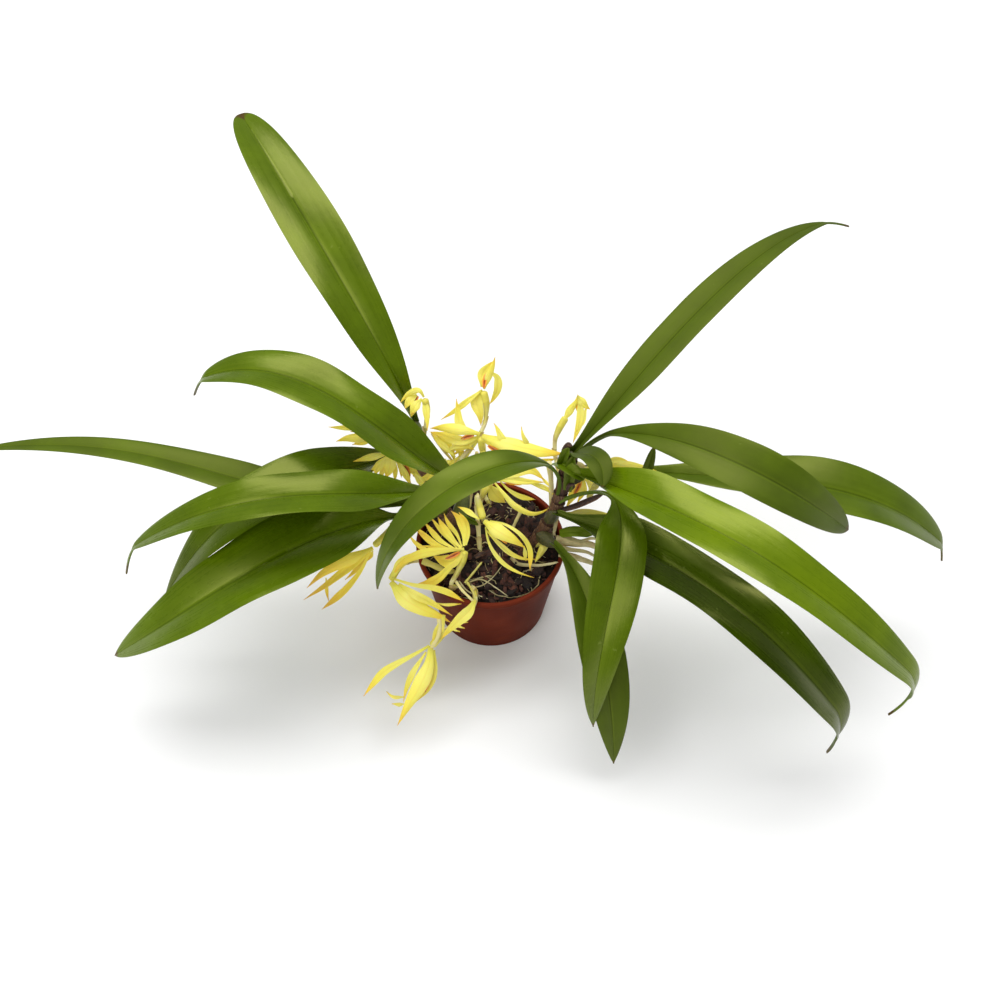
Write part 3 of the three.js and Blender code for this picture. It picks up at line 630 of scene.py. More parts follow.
def thin_wall(outside, inside, rows):
    """A sleeve's closed wall, out along it and back inside, and how far up it each point is."""
    risen = np.tile(rows[:, None], (1, outside.shape[1]))
    return np.concatenate([outside, inside[::-1]]), np.concatenate([risen, risen[::-1]])


def sheath_shells(stem, seed):
    """Papery sleeves up the stem: each hugs it at its foot and flares to a torn rim over the next."""
    shells = []
    draw = np.random.default_rng(seed)
    path = smooth_path(np.array(stem["path"]) * MM, SPINE_ROWS)
    rows = np.linspace(0, 1, SHEATH_ROWS)
    turn = round_turn(SHEATH_SIDES)
    for foot in np.linspace(0.1, 0.95 - SHEATH_LENGTH * 0.6, SHEATHS):
        share = foot + min(SHEATH_LENGTH * draw.uniform(0.75, 1.1), 0.995 - foot) * rows
        spine = places_along(path, share)
        tear = 1 + 0.2 * np.sin(turn + draw.uniform(0, 6)) + 0.1 * np.sin(3 * turn + draw.uniform(0, 6))
        tear += 0.07 * np.sin(9 * turn + draw.uniform(0, 6))
        radius = stem_radius(stem, share)[:, None] + SHEATH_FLARE * (rows[:, None] ** 2) * tear + SHEATH_GAP
        radius = radius + SHEATH_RIB * np.sin(11 * turn + draw.uniform(0, 6))
        ring = around(spine, SHEATH_SIDES)
        outside = spine[:, None] + radius[..., None] * ring
        inside = spine[:, None] + (radius - SHEATH_THICK)[..., None] * ring
        wall, edge = thin_wall(outside, inside, rows)
        shells.append((wall, {"paper": 1.0, "edge": edge}))
    return shells


def bulb_shell(foot, top, husk):
    """A slim flattened egg from foot to top with shallow ridges, greener the less husk is on it."""
    foot, top = np.array(foot) * MM, np.array(top) * MM
    axis = (top - foot) / np.linalg.norm(top - foot)
    share = np.linspace(0.004, 0.996, BULB_ROWS)
    path = foot - axis * BULB_OVERLAP + np.outer(share, top - foot + 2 * axis * BULB_OVERLAP)
    swell = np.sin(np.pi * share ** 0.8) ** 0.8
    turn = round_turn(BULB_SIDES)
    ridge = 1 + 0.045 * np.sin(7 * turn) * swell[:, None] + 0.02 * np.sin(15 * turn)
    level = np.cross(axis, [0, 0, 1.0])
    level /= np.linalg.norm(level)
    depth = np.cross(axis, level)
    wide = (BULB_WIDE / 2 * swell)[:, None] * ridge * np.cos(turn)
    deep = (BULB_THICK / 2 * swell)[:, None] * ridge * np.sin(turn)
    return path[:, None] + wide[..., None] * level + deep[..., None] * depth, {"paper": husk, "edge": 0.0}


def stem_skin():
    """Green stem and bulbs, and dark brown paper sheaths with pale fibres and fraying edges."""
    finish = Finish("stem_skin", {"Coat Weight": 0.1, "Coat Roughness": 0.35})
    paper = finish.mark("paper")
    fibre = finish.noise(finish.place((1, 1, 0.18)), 0.9 * MM, 4.0, 0.6)
    cloud = finish.noise(finish.place(), 8 * MM)
    green = finish.ramp(cloud * 0.6 + fibre * 0.4, [(0.3, "3a4a0e"), (0.5, "5e7020"), (0.7, "8a9440")])
    brown = finish.ramp(fibre * 0.7 + finish.mark("edge") * 0.3,
                        [(0.25, "1c0f09"), (0.45, "3c2317"), (0.65, "6a4a33"), (0.85, "a78d6c")])
    finish.paint({"Base Color": finish.mix(paper, green, brown), "Roughness": 0.42 + paper * 0.3})
    finish.relief(fibre, 0.3 * MM)
    return finish


stem_finish = stem_skin()
BULBS = {
    "right": [
        ([51, 11, 136], [68, 21, 138]),
        ([41, 3, 103], [44, 1, 112]),
        ([35, -1, 90], [43, -17, 100]),
    ],
    "left": [
        ([-51, 56, 117], [-54, 70, 128]),
        ([-24, 8, 86], [-17, 29, 100]),
        ([-47, 38, 111], [-62, 49, 118]),
        ([-33, 13, 96], [-37, 8, 128]),
        ([-34, 14, 98], [-62, 5, 100]),
    ],
}
for seed, (side, stem) in enumerate(RHIZOMES.items()):
    husk = BULB_HUSK[side]
    bulbs = [bulb_shell(*bulb, husk) for bulb in BULBS[side]]
    grown = [stem_core(stem), *sheath_shells(stem, 60 + seed), *bulbs]
    make_piece(f"creeping_stem_{side}", grown, stem_finish, [f"rhizome_{side}"])


# The leaves are thick, leathery straps, folded along a sunken midrib and narrowed to a channelled
# foot. They arch out and down, and shine softly where they face the light.
LEAF_THICK = 1.3 * MM
LEAF_PETIOLE, LEAF_NECK, LEAF_TAIL, LEAF_POINT = 4.2, 0.03, 1.1, 0.5
FOLD_BASE, FOLD_INNER, FOLD_OUTER = 52, 22, 6
HOOK_END, FOOT_SHARE = 0.9, 0.14
KEEL_DEPTH, GROOVE_DEPTH, MARGIN_WAVE = 0.9 * MM, 0.35 * MM, 0.055
LEAF_ROWS, LEAF_COLUMNS = 110, 20

# A leaf's midrib passes through four points from base to tip, in millimetres. Widths are in
# millimetres too, and shares of its length run from 0 at the base to 1 at the tip. It widens from
# its petiole between neck and fill, is widest at belly, and narrows by taper and point to its end,
# past which a thin tail goes on, widened by flap. From bend onwards hook pulls the tip aside, foot
# bends the base and roll turns the blade about its midrib, in degrees. Tone is how light its green
# is and dull how much it has lost its shine.
LEAVES = [
    {"name": "leaf_back_left", "width": 42, "fill": 0.62, "belly": 0.52,
     "taper": 2.8, "point": 0.45, "hook": [0, 0, 0], "tone": 0.42,
     "rib": [[-54, 70, 128], [-77, 88, 190], [-123, 152, 238], [-175, 242, 255]]},
    {"name": "leaf_left_arched", "width": 40, "fill": 0.32, "belly": 0.5,
     "taper": 2, "point": 0.5, "hook": [-1, 2, -14], "tone": 0.45,
     "end": 0.975, "flap": 1.6, "rib": [[-17, 29, 100], [-70, 25, 172], [-130, 48, 200], [-200, 62, 178]]},
    {"name": "leaf_far_left", "width": 27, "fill": 0.35, "belly": 0.45,
     "taper": 1.1, "point": 0.6, "hook": [0, 0, 0], "tone": 0.25, "dull": 0.25,
     "rib": [[-40, 17, 104], [-135, 1, 136], [-228, 20, 152], [-358, 43, 128]]},
    {"name": "leaf_left_behind", "width": 42, "fill": 0.35, "belly": 0.5,
     "taper": 1.7, "point": 0.8, "hook": [0, 0, 0], "tone": 0.3,
     "rib": [[-62, 49, 118], [-109, 1, 157], [-162, -26, 154], [-221, -52, 86]]},
    {"name": "leaf_left_over", "width": 34, "fill": 0.32, "belly": 0.4,
     "taper": 2, "point": 0.6, "hook": [2, -6, -12], "tone": 0.4,
     "end": 0.97, "flap": 0.5, "rib": [[-37, 8, 128], [-95, -31, 180], [-162, -41, 182], [-244, -41, 124]]},
    {"name": "leaf_left_low", "width": 54, "fill": 0.3, "belly": 0.45,
     "taper": 1.7, "point": 0.68, "hook": [0, 0, 0], "tone": 0.5,
     "rib": [[-62, 5, 100], [-118, -38, 136], [-181, -72, 124], [-254, -84, 66]]},
    {"name": "leaf_front_left", "width": 28, "fill": 0.55, "belly": 0.5,
     "taper": 1.8, "point": 0.66, "hook": [0, 0, 0], "tone": 0.3, "dull": 0.15,
     "neck": 0.2, "petiole": 2, "rib": [[44, 7, 120], [25, -10, 186], [-33, -41, 190], [-74, -61, 115]]},
    {"name": "leaf_back_right", "width": 26, "fill": 0.42, "belly": 0.5,
     "taper": 1.5, "point": 0.7, "hook": [6, 1, -5], "tone": 0.14,
     "end": 0.95, "dull": 0.35, "rib": [[56, 19, 158], [102, 52, 205], [172, 123, 226], [248, 187, 205]]},
    {"name": "leaf_right_arched", "width": 35, "fill": 0.66, "belly": 0.6,
     "taper": 2.2, "point": 0.6, "hook": [0, 0, 0], "tone": 0.18,
     "foot": [-8, -10, -4], "neck": 0.1, "petiole": 2.8, "roll": 22, "dull": 0.22,
     "rib": [[64, 26, 158], [111, 2, 196], [171, -30, 198], [235, -31, 140]]},
    {"name": "leaf_right_behind", "width": 42, "fill": 0.58, "belly": 0.6,
     "taper": 2.2, "point": 0.45, "hook": [-1, -2, -11], "tone": 0.36, "dull": 0.12,
     "neck": 0.12, "end": 0.985, "rib": [[68, 21, 138], [158, 0, 156], [239, -10, 150], [314, -17, 95]]},
    {"name": "leaf_right_long", "width": 39, "fill": 0.22, "belly": 0.45,
     "taper": 2.2, "point": 0.55, "hook": [-39, 1, -6], "tone": 0.66,
     "end": 0.96, "bend": 0.88, "flap": 0.4,
     "rib": [[47, 9, 153], [131, -57, 186], [207, -102, 166], [304, -126, 66]]},
    {"name": "leaf_right_low", "width": 39, "fill": 0.22, "belly": 0.55,
     "taper": 2.8, "point": 0.38, "hook": [-24, 0, -6], "tone": 0.06,
     "end": 0.96, "bend": 0.89, "flap": 2.8,
     "rib": [[44, 1, 112], [118, -52, 129], [179, -101, 120], [252, -138, 36]]},
    {"name": "leaf_front_folded", "width": 35, "fill": 0.48, "belly": 0.55,
     "taper": 2, "point": 0.9, "hook": [0, 0, 0], "tone": 0.35,
     "neck": 0.25, "petiole": 2.4, "rib": [[47, 4, 120], [85, -23, 148], [77, -85, 126], [69, -129, 50]]},
    {"name": "leaf_front_right", "width": 32, "fill": 0.6, "belly": 0.6,
     "taper": 2, "point": 0.9, "hook": [0, 0, 0], "tone": 0.2, "dull": 0.2,
     "neck": 0.1, "rib": [[43, -17, 100], [63, -58, 102], [77, -104, 74], [84, -142, 20]]},
    {"name": "leaf_short", "width": 18, "fill": 0.3, "belly": 0.35,
     "taper": 3, "point": 0.6, "hook": [0, 0, 0], "tone": 0.05,
     "dull": 0.35, "rib": [[55, 11, 161], [63, 0, 180], [70, -11, 185], [72, -25, 180]]},
    {"name": "leaf_sprout", "width": 8, "fill": 0.8, "belly": 0.84,
     "taper": 2.4, "point": 0.5, "hook": [0, 0, 0], "tone": 0.05, "dull": 0.3,
     "neck": 0.5, "petiole": 1.3, "roll": 35,
     "rib": [[57, 8, 148], [86, 1, 158], [99, -7, 164], [107, 8, 178]]},
]
NOTCHED = {"leaf_back_left": 5 * MM}  # how deep the tip is notched where the midrib ends


def leaf_midrib(leaf, t):
    """The cubic through the rib's four points at equal shares.

    The hook is added as the square of the share past its start, the foot as the square before its end.
    """
    a, b, c, d = np.array(leaf["rib"], float) * MM
    leave = -5 / 6 * a + 3 * b - 3 / 2 * c + 1 / 3 * d
    arrive = 1 / 3 * a - 3 / 2 * b + 3 * c - 5 / 6 * d
    t = t[:, None]
    curve = (1 - t) ** 3 * a + 3 * t * (1 - t) ** 2 * leave + 3 * t ** 2 * (1 - t) * arrive + t ** 3 * d
    start = leaf.get("bend", leaf.get("end", HOOK_END) - 0.02)
    curve = curve + np.array(leaf["hook"]) * MM * np.maximum(0, (t - start) / (1 - start)) ** 2
    return curve + np.array(leaf.get("foot", (0, 0, 0))) * MM * np.maximum(0, 1 - t / FOOT_SHARE) ** 2


def leaf_half_width(leaf, t):
    """The petiole widening to half the leaf's width, then narrowing past the belly as (1 - x^taper)^point."""
    end = leaf.get("end", 1)
    widen = smoothstep(t, leaf.get("neck", LEAF_NECK), leaf["fill"]) ** 0.75
    beyond = np.clip((t - leaf["belly"]) / (end - leaf["belly"]), 0, 1)
    narrow = (1 - beyond ** leaf["taper"]) ** leaf["point"]
    least = LEAF_TAIL if end < 1 else LEAF_POINT
    flap = leaf.get("flap", 0) * np.sin(np.pi * np.clip((t - end) / (1.004 - end), 0, 1)) if end < 1 else 0
    petiole = leaf.get("petiole", LEAF_PETIOLE)
    return np.maximum(least + flap, petiole * (1 - widen) + leaf["width"] / 2 * widen * narrow) * MM


def folded_blade(centre, side, up, half, inner, outer, thick, columns):
    """Rings round a blade that is folded along its middle.

    From the middle to either margin the blade's slope runs from inner to outer, in degrees, each
    one number or one a row, so its reach and rise are the sums of the slope's cosine and sine.
    Both faces stand half a thickness off along the blade's own normal, less towards the margin as
    a circle's edge does.
    Returns the rings, the share across of each point from -1 to 1, and 1 on the upper face.
    """
    half_columns = columns // 2
    r = np.linspace(0, 1, half_columns + 1)
    middle = (r[1:] + r[:-1]) / 2
    inner, outer = (np.broadcast_to(slope, half.shape)[:, None] for slope in (inner, outer))

    def slope_at(share):
        return np.radians(inner + (outer - inner) * share)

    steps = np.diff(r) * half[:, None]
    zero = np.zeros((len(half), 1))
    reach = np.hstack([zero, np.cumsum(steps * np.cos(slope_at(middle)), 1)])
    rise = np.hstack([zero, np.cumsum(steps * np.sin(slope_at(middle)), 1)])
    slope = slope_at(r) * np.tanh(r / 0.06)
    across = np.concatenate([-r[:0:-1], r])
    order = np.abs(np.arange(-half_columns, half_columns + 1))
    sign = np.sign(across)[:, None]
    side, up = side[:, None], up[:, None]
    sheet = centre[:, None] + side * sign * reach[:, order, None] + up * rise[:, order, None]
    normal = up * np.cos(slope)[:, order, None] - side * sign * np.sin(slope)[:, order, None]
    offset = (thick / 2 * np.sqrt(1 - across ** 2))[:, None] * normal
    rings = np.concatenate([sheet + offset, (sheet - offset)[:, -2:0:-1]], 1)
    shares = np.concatenate([across, across[-2:0:-1]])
    upper = np.concatenate([np.ones(columns + 1), np.zeros(columns - 1)])
    return rings, np.broadcast_to(shares, rings.shape[:2]), np.broadcast_to(upper, rings.shape[:2])


def leaf_shell(leaf, seed):
    """The leaf's folded blade along its midrib, its margins gently waved and its midrib raised below."""
    t = np.linspace(0, 1, LEAF_ROWS)
    t = 1 - (1 - t) ** 1.25
    small = 0.004
    centre = leaf_midrib(leaf, t)
    ahead = unit(leaf_midrib(leaf, t + small) - leaf_midrib(leaf, t - small))
    chord = np.array(leaf["rib"][3], float) - np.array(leaf["rib"][0])
    level = unit(np.cross([0, 0, 1.0], chord))
    side = unit(level - ahead * (ahead @ level)[:, None])
    up = np.cross(ahead, side)
    roll = (np.radians(leaf.get("roll", 0)) * smoothstep(t, 0, 0.4))[:, None]
    side, up = side * np.cos(roll) + up * np.sin(roll), up * np.cos(roll) - side * np.sin(roll)
    opening = smoothstep(t, 0, 0.35)
    inner = FOLD_BASE + (FOLD_INNER - FOLD_BASE) * opening
    outer = FOLD_BASE + (FOLD_OUTER - FOLD_BASE) * opening
    half = leaf_half_width(leaf, t)
    rings, across, upper = folded_blade(centre, side, up, half, inner, outer, LEAF_THICK, LEAF_COLUMNS)
    draw = np.random.default_rng(seed)
    waves = draw.uniform(2, 3.2)
    wave = np.sin(2 * np.pi * (waves * t[:, None] + 0.25 * np.sign(across)) + draw.uniform(0, 6))
    swing = MARGIN_WAVE * half[:, None] * wave * across ** 2 * np.sin(np.pi * t[:, None])
    fading = opening[:, None] * (1 - t[:, None]) ** 0.5
    keel = KEEL_DEPTH * np.exp(-(across / 0.07) ** 2) * (1 - upper) * fading
    groove = GROOVE_DEPTH * np.exp(-(across / 0.05) ** 2) * upper * fading
    rings = rings + up[:, None] * (swing - keel - groove)[..., None]
    depth = NOTCHED.get(leaf["name"], 0)
    notch = depth * np.exp(-(across / 0.3) ** 2) * smoothstep(t, 0.95, 1)[:, None]
    rings = rings - ahead[:, None] * notch[..., None]
    marks = {"along": t[:, None], "across": across, "upper": upper, "tone": leaf["tone"],
             "dull": leaf.get("dull", 0.0)}
    return rings, marks


def leaf_skin():
    """Leathery green: fine veins and streaks lengthwise, dull spots, and painted light at the midrib.

    The blade darkens at its midrib, which is painted shade in its groove, and a pale line runs along either
    side of the groove, which is a painted highlight on its shoulders. Its underside is greyer and duller, and
    the outermost tip is brown and dry. The streaks are noise drawn out along the leaf, other ones for each
    tone.
    """
    finish = Finish("leaf_skin", {"Specular Tint": (1.0, 1.0, 0.3, 1.0), "Specular IOR Level": 0.65})
    across, along = finish.mark("across"), finish.mark("along")
    upper, tone = finish.mark("upper"), finish.mark("tone")
    cloud = finish.noise(finish.place(), 38 * MM, 3.0)
    mottle = finish.noise(finish.place(), 5 * MM, 4.0)
    swirl = finish.noise(finish.place(), 16 * MM, 2.0)
    vein = finish.wave(across * 46 + swirl * 1.4)
    lengthwise = finish.node("ShaderNodeCombineXYZ", {}, {0: across * 7, 1: along * 1.6, 2: tone * 20})
    streak = finish.noise(lengthwise, 1.0)
    level = tone * 0.5 + cloud * 0.34 + mottle * 0.06 + vein * 0.006 + streak * 0.06
    green = finish.ramp(level, [(0.18, "2c3e00"), (0.36, "415600"), (0.52, "556d00"), (0.7, "6f8700"),
                                (0.9, "98af20")])
    # Painted shade: the blade is darkened in the midrib's groove.
    painted_groove_shade = 1 - finish.step(abs(across), 0.0, 0.055)
    painted_groove_highlight = finish.step(abs(across), 0.03, 0.07) * (1 - finish.step(abs(across), 0.07, 0.16))
    ribbed = finish.mix(painted_groove_shade * 0.35, green, colour("1c2c00"))
    # Painted highlight: a pale line on the shoulders either side of the midrib's groove.
    highlit_green = finish.mix(painted_groove_highlight * 0.1, ribbed, colour("8ba21c"))
    under = finish.mix((1 - upper) * 0.4, highlit_green, colour("4d6a24"))
    spot = finish.step(finish.noise(finish.place(), 3.2 * MM, 1.0), 0.72, 0.8) * finish.step(cloud, 0.5, 0.62)
    spotted = finish.mix(spot * 0.25, under, colour("8e9c50"))
    dry = finish.step(along + mottle * 0.02, 0.992, 1.004)
    rough = 0.17 + streak * 0.16 + mottle * 0.06 + spot * 0.2 + (1 - upper) * 0.2 + finish.mark("dull")
    finish.paint({"Base Color": finish.mix(dry, spotted, colour("4a3516")), "Roughness": rough})
    finish.relief(vein * 0.03 + streak * 0.5 + mottle * 0.2 + swirl * 0.7, 0.18 * MM)
    return finish


leaf_finish = leaf_skin()
for seed, leaf in enumerate(LEAVES):
    make_piece(f"{leaf['name']}_blade", [leaf_shell(leaf, 200 + seed)], leaf_finish, [leaf["name"]])


# The blooms are spidery: three long sepals and two shorter petals, waxy yellow and drawn out to
# orange points, on a swollen greenish ovary at the end of a thin stalk with papery bracts.
STALK_RADIUS, OVARY_RADIUS, OVARY_LENGTH = 1.3 * MM, 2.5 * MM, 13 * MM
STALK_ROWS, STALK_SIDES = 80, 18
BRACT_LENGTH, BRACT_SPACING, BRACT_SLANT, BRACT_THICK = 13 * MM, 12 * MM, 7 * MM, 0.22 * MM
BRACT_ROWS, BRACT_SIDES = 12, 20
TEPAL_THICK, TEPAL_TIP, TEPAL_SWAY, TEPAL_TWIST = 0.8 * MM, 0.8, 0.35 * MM, 18
TEPAL_DOMED, TEPAL_CHANNELLED = (-3.0, -32.0), (22.0, 6.0)  # slopes at the middle and the margin
TEPAL_ROWS, BLADE_COLUMNS = 60, 12

# Each bloom has its root on a creeping stem, in millimetres, and then as points measured on the
# photograph its stalk to the heart, its lip, and its tepals from heart to tip: the width in
# millimetres, the share of the length where it is widest, its olive tint, which is painted shade
# where the tepal lies in shadow, and its middle line. Aged is how far the tepals have turned to
# gold and ripe how yellow the stalk is, from 0 to 1.
BLOOMS = [
    {"name": "bloom_back", "root": [-50, 54, 114],
     "stalk": [[425, 431, 150], [427, 412, 160], [425, 399, 170]],
     "lip": [[418, 396, 168], [413.5, 402, 165], [410.5, 409, 162]],
     "tepals": [
         (4.9, 0.45, 0.15, [[424, 397, 171], [419, 390.5, 175], [409, 393.5, 170], [400, 403, 164]]),
         (5.3, 0.35, 0.1, [[423, 399, 169], [426, 408, 166], [427.3, 422, 160], [427, 431, 156]]),
         (6.1, 0.5, 0.1, [[422, 399, 170], [415, 406, 168], [411, 417, 163]]),
         (6.1, 0.5, 0.3, [[417, 395, 169], [409, 402, 166], [405, 409, 163]]),
         (3.8, 0.5, 0.2, [[421, 400, 170], [417, 408, 167], [412, 414, 165]]),
     ]},
    {"name": "bloom_top", "root": [-40, 26, 102],
     "stalk": [[482, 430, 136], [486, 414, 140], [486, 402, 146], [483.5, 391, 152]],
     "lip": [[484, 388, 155], [485, 380, 158], [486.5, 373, 160]],
     "tepals": [
         (5.3, 0.4, 0.1, [[484, 389, 153], [488, 378, 160], [493, 365, 168], [495.3, 356.5, 173]]),
         (4.6, 0.45, 0.25, [[482, 390, 152], [471, 398.5, 150], [456, 410, 142], [441, 419.5, 134]]),
         (9.1, 0.35, 0.75, [[481, 391, 151], [477, 402, 146], [480, 415, 142], [481, 426, 138]]),
         (6.1, 0.4, 0.55, [[490, 372, 163], [497, 378, 160], [497.6, 389, 155], [493, 399, 149],
                           [489, 405, 145]]),
         (6.8, 0.45, 0.35, [[482, 387, 154], [482, 375, 158], [488, 367, 164], [493.5, 361, 169]]),
     ]},
    {"name": "bloom_mid_left", "root": [-16, 24, 78],
     "stalk": [[474, 470, 100], [482, 455, 118], [481, 438, 136]],
     "lip": [[474, 435, 138], [466, 437, 136], [460, 440, 134]],
     "tepals": [
         (8.4, 0.5, 0, [[480, 434, 139], [462, 430, 143], [446, 428, 144], [430, 428.5, 142]]),
         (6.8, 0.28, 0.05, [[468, 431, 140], [459.5, 424, 144], [457.5, 410, 151], [456.6, 398.5, 157]]),
         (7.6, 0.5, 0.3, [[480, 437, 136], [464, 441, 134], [448, 437, 134], [429, 432, 134]]),
         (6.1, 0.5, 0.15, [[480, 438, 134], [463, 446, 130], [447, 450, 126]]),
         (4.6, 0.5, 0.45, [[478, 437, 134], [462, 449, 124], [452, 456, 118]]),
     ]},
    {"name": "bloom_mid_right", "root": [0, 30, 78],
     "stalk": [[475, 475, 96], [484, 462, 116], [482, 446, 132], [481, 438, 138]],
     "lip": [[488, 446, 138], [497, 451.5, 137], [506, 455, 135]],
     "tepals": [
         (12.9, 0.45, 0, [[482, 436, 142], [502, 442, 147], [530, 449, 143], [566, 454.6, 135]]),
         (5.3, 0.15, 0.05, [[504, 442, 146], [499, 433, 150], [494, 423, 154]]),
         (3.8, 0.2, 0.1, [[528, 446, 142], [523.5, 437, 148], [521.4, 426.5, 152]]),
         (7.6, 0.5, 0.15, [[483, 440, 138], [505, 452, 136], [528, 460, 132], [548, 463, 128]]),
         (4.6, 0.6, 0.1, [[520, 458, 132], [538, 462, 131], [556, 459, 131]]),
     ]},
    {"name": "bloom_mid_low", "root": [-24, 20, 76],
     "stalk": [[462, 480, 96], [458, 470, 112], [446, 462, 122]],
     "lip": [[444, 463, 122], [438, 468, 121], [433, 474, 119]],
     "tepals": [
         (7.6, 0.5, 0.1, [[446, 462, 122], [436, 470, 122], [426, 484, 118]]),
         (6.1, 0.5, 0.5, [[446, 463, 121], [440, 476, 114], [436, 488, 106]]),
         (5.3, 0.5, 0.3, [[446, 460, 124], [433, 460, 128], [420, 466, 128]]),
         (6.1, 0.5, 0.4, [[446, 463, 122], [430, 476, 120], [416, 481, 118]]),
         (4.6, 0.5, 0.2, [[455, 457, 124], [447, 449, 130], [438, 441, 134], [431, 432, 136]]),
         (4.6, 0.5, 0.3, [[478, 441, 133], [468, 452, 124], [458, 461, 116], [450, 470, 110]]),
         (4.2, 0.5, 0.1, [[436, 434, 134], [444, 442, 130], [454, 448, 126], [466, 453, 122]]),
         (3.8, 0.5, 0.5, [[447, 441, 128], [452, 452, 120], [455, 463, 112]]),
         (4.2, 0.5, 0.3, [[463, 441, 130], [461, 453, 120], [464, 466, 110]]),
         (4.2, 0.55, 0.5, [[470, 452, 120], [463, 462, 114], [456, 472, 108], [452, 484, 100]]),
         (4.6, 0.55, 0.2, [[477, 455, 118], [471, 467, 111], [466, 476, 105], [462, 486, 98]]),
         (4.9, 0.5, 0.3, [[446, 453, 127], [456, 446, 131], [466, 446, 131], [475, 450, 127]]),
         (4.6, 0.5, 0.05, [[479, 445, 132], [484, 454, 128], [490, 463, 122], [493, 471, 116]]),
         (3.8, 0.5, 0.35, [[460, 456, 122], [451, 462, 120], [440, 464, 120], [430, 470, 118]]),
     ]},
    {"name": "bloom_back_right", "root": [50, 13, 130],
     "stalk": [[555.5, 456, 132], [555.2, 440, 140], [559, 429, 145], [566, 417, 150]],
     "lip": [[577, 401, 156], [578.3, 408, 152], [579.5, 415, 149]],
     "tepals": [
         (5.7, 0.35, 0.35, [[564, 420, 148], [571, 409, 153], [576.5, 401, 157], [578, 394, 160]]),
         (6.1, 0.45, 0.3, [[578, 396, 159], [580, 405, 155], [580.5, 418, 150], [576, 434, 144],
                           [573, 443, 140]]),
         (6.1, 0.4, 0.2, [[577.5, 396, 159], [583, 403, 156], [590, 409.5, 152]]),
         (3.8, 0.4, 0.6, [[577, 400, 156], [578, 409, 152], [580, 416, 149]]),
         (4.6, 0.5, 0.15, [[586, 409, 153], [583, 420, 149], [577, 432, 145]]),
     ]},
    {"name": "bloom_middle", "root": [-2, 18, 78],
     "stalk": [[484, 520, 90], [480, 506, 104], [484, 492, 118], [491, 481, 126]],
     "lip": [[503, 481, 126], [512, 483, 124], [521.5, 484.5, 122]],
     "tepals": [
         (4.6, 0.45, 0, [[495, 483, 126], [503, 493, 124], [514, 505.5, 118], [531, 513.5, 112],
                         [542, 512, 110], [550.5, 507, 110]]),
         (9.1, 0.4, 0.35, [[497, 480, 128], [514, 472, 134], [531, 470, 134], [545, 480, 128]]),
         (5.3, 0.4, 0, [[498, 480, 128], [512, 480, 131], [528, 482, 129], [545, 482, 126]]),
         (3.8, 0.7, 0.05, [[500, 481, 126], [509, 490, 122], [521, 497, 118], [535.5, 499.4, 115]]),
         (3.8, 0.35, 0.05, [[530, 483, 126], [545, 488, 122], [561, 499.5, 114]]),
         (2.3, 0.4, 0.15, [[541, 477, 128], [546, 482, 125], [552, 489, 121]]),
         (10.6, 0.4, 0.8, [[489, 486, 118], [496, 495, 112], [505, 503, 106]]),
     ]},
    {"name": "bloom_front", "root": [-7, -14, 78],
     "stalk": [[477, 497, 118], [480, 508, 114], [483, 519, 111]],
     "lip": [[495, 532, 110], [501, 538, 108], [507, 543.5, 106]],
     "tepals": [
         (10.6, 0.38, 0, [[484, 521, 112], [498, 531, 116], [513, 539.5, 113], [525, 548, 106]]),
         (3.8, 0.8, 0, [[490, 521, 113], [506, 525, 118], [521, 535, 114], [530, 549, 104], [530, 571, 94]]),
         (3.8, 0.45, 0, [[486, 530, 108], [499, 543.5, 104], [512, 554, 99], [525, 559, 95],
                         [536, 559.5, 93]]),
         (3.2, 0.5, 0, [[485.5, 527, 110], [488, 540, 104], [493.5, 552, 100], [504, 564, 95],
                        [517, 571.5, 91], [534, 577.5, 87]]),
         (4.2, 0.5, 0.05, [[479, 519.5, 112], [468, 511.5, 115], [457.5, 507, 117]]),
         (3, 0.5, 0.3, [[524, 546, 106], [525, 553, 102], [526, 561, 97]]),
     ]},
    {"name": "bloom_front_left", "aged": 0.5, "root": [-14, -32, 74],
     "stalk": [[451.5, 585, 80], [457, 573, 86], [463, 560, 93], [465, 551, 98]],
     "lip": [[460, 552, 99], [452, 556, 97], [445, 559, 95]],
     "tepals": [
         (6.8, 0.5, 0, [[464, 549, 99], [445, 550, 104], [420, 554, 104], [402, 563, 98], [391.5, 577, 88]]),
         (5.7, 0.6, 0, [[464, 546, 100], [464, 532, 104], [459, 519, 108], [451, 511, 111]]),
         (5.3, 0.6, 0, [[461, 548, 101], [452, 539, 105], [444, 528, 109], [438, 517, 112]]),
         (4.2, 0.6, 0.05, [[455, 549, 101], [441, 541, 105], [431, 531, 109], [424, 522, 111]]),
         (4.6, 0.6, 0, [[453, 550, 100], [439, 546, 104], [427, 539, 107], [417, 531, 110]]),
         (3.4, 0.6, 0.15, [[442, 552, 100], [427, 550, 101], [416, 543, 104], [408.5, 535, 106]]),
         (4.2, 0.6, 0, [[466, 545, 100], [468, 534, 103], [465, 522, 106], [459, 512, 109]]),
         (3.4, 0.6, 0.1, [[462, 547, 100], [457, 535, 104], [449, 524, 109], [444, 513, 111]]),
         (3.2, 0.6, 0.1, [[457, 548, 101], [446, 536, 106], [436, 524, 110], [430, 517, 111]]),
         (3, 0.6, 0.1, [[450, 550, 101], [436, 543, 104], [423, 533, 108], [413, 526, 110]]),
         (2.7, 0.6, 0.2, [[462, 549, 101], [448, 549, 103], [434, 547, 105], [420, 546, 105]]),
         (6.5, 0.68, 0.05, [[463, 555, 97], [450, 567, 92], [438, 578, 86], [427, 583, 82],
                            [416, 584.5, 80]]),
         (9.9, 0.45, 0.25, [[463, 553, 98], [452, 561, 94], [443, 560, 92], [433, 556, 92]]),
     ]},
    {"name": "bloom_rim_left", "root": [-36, -10, 74],
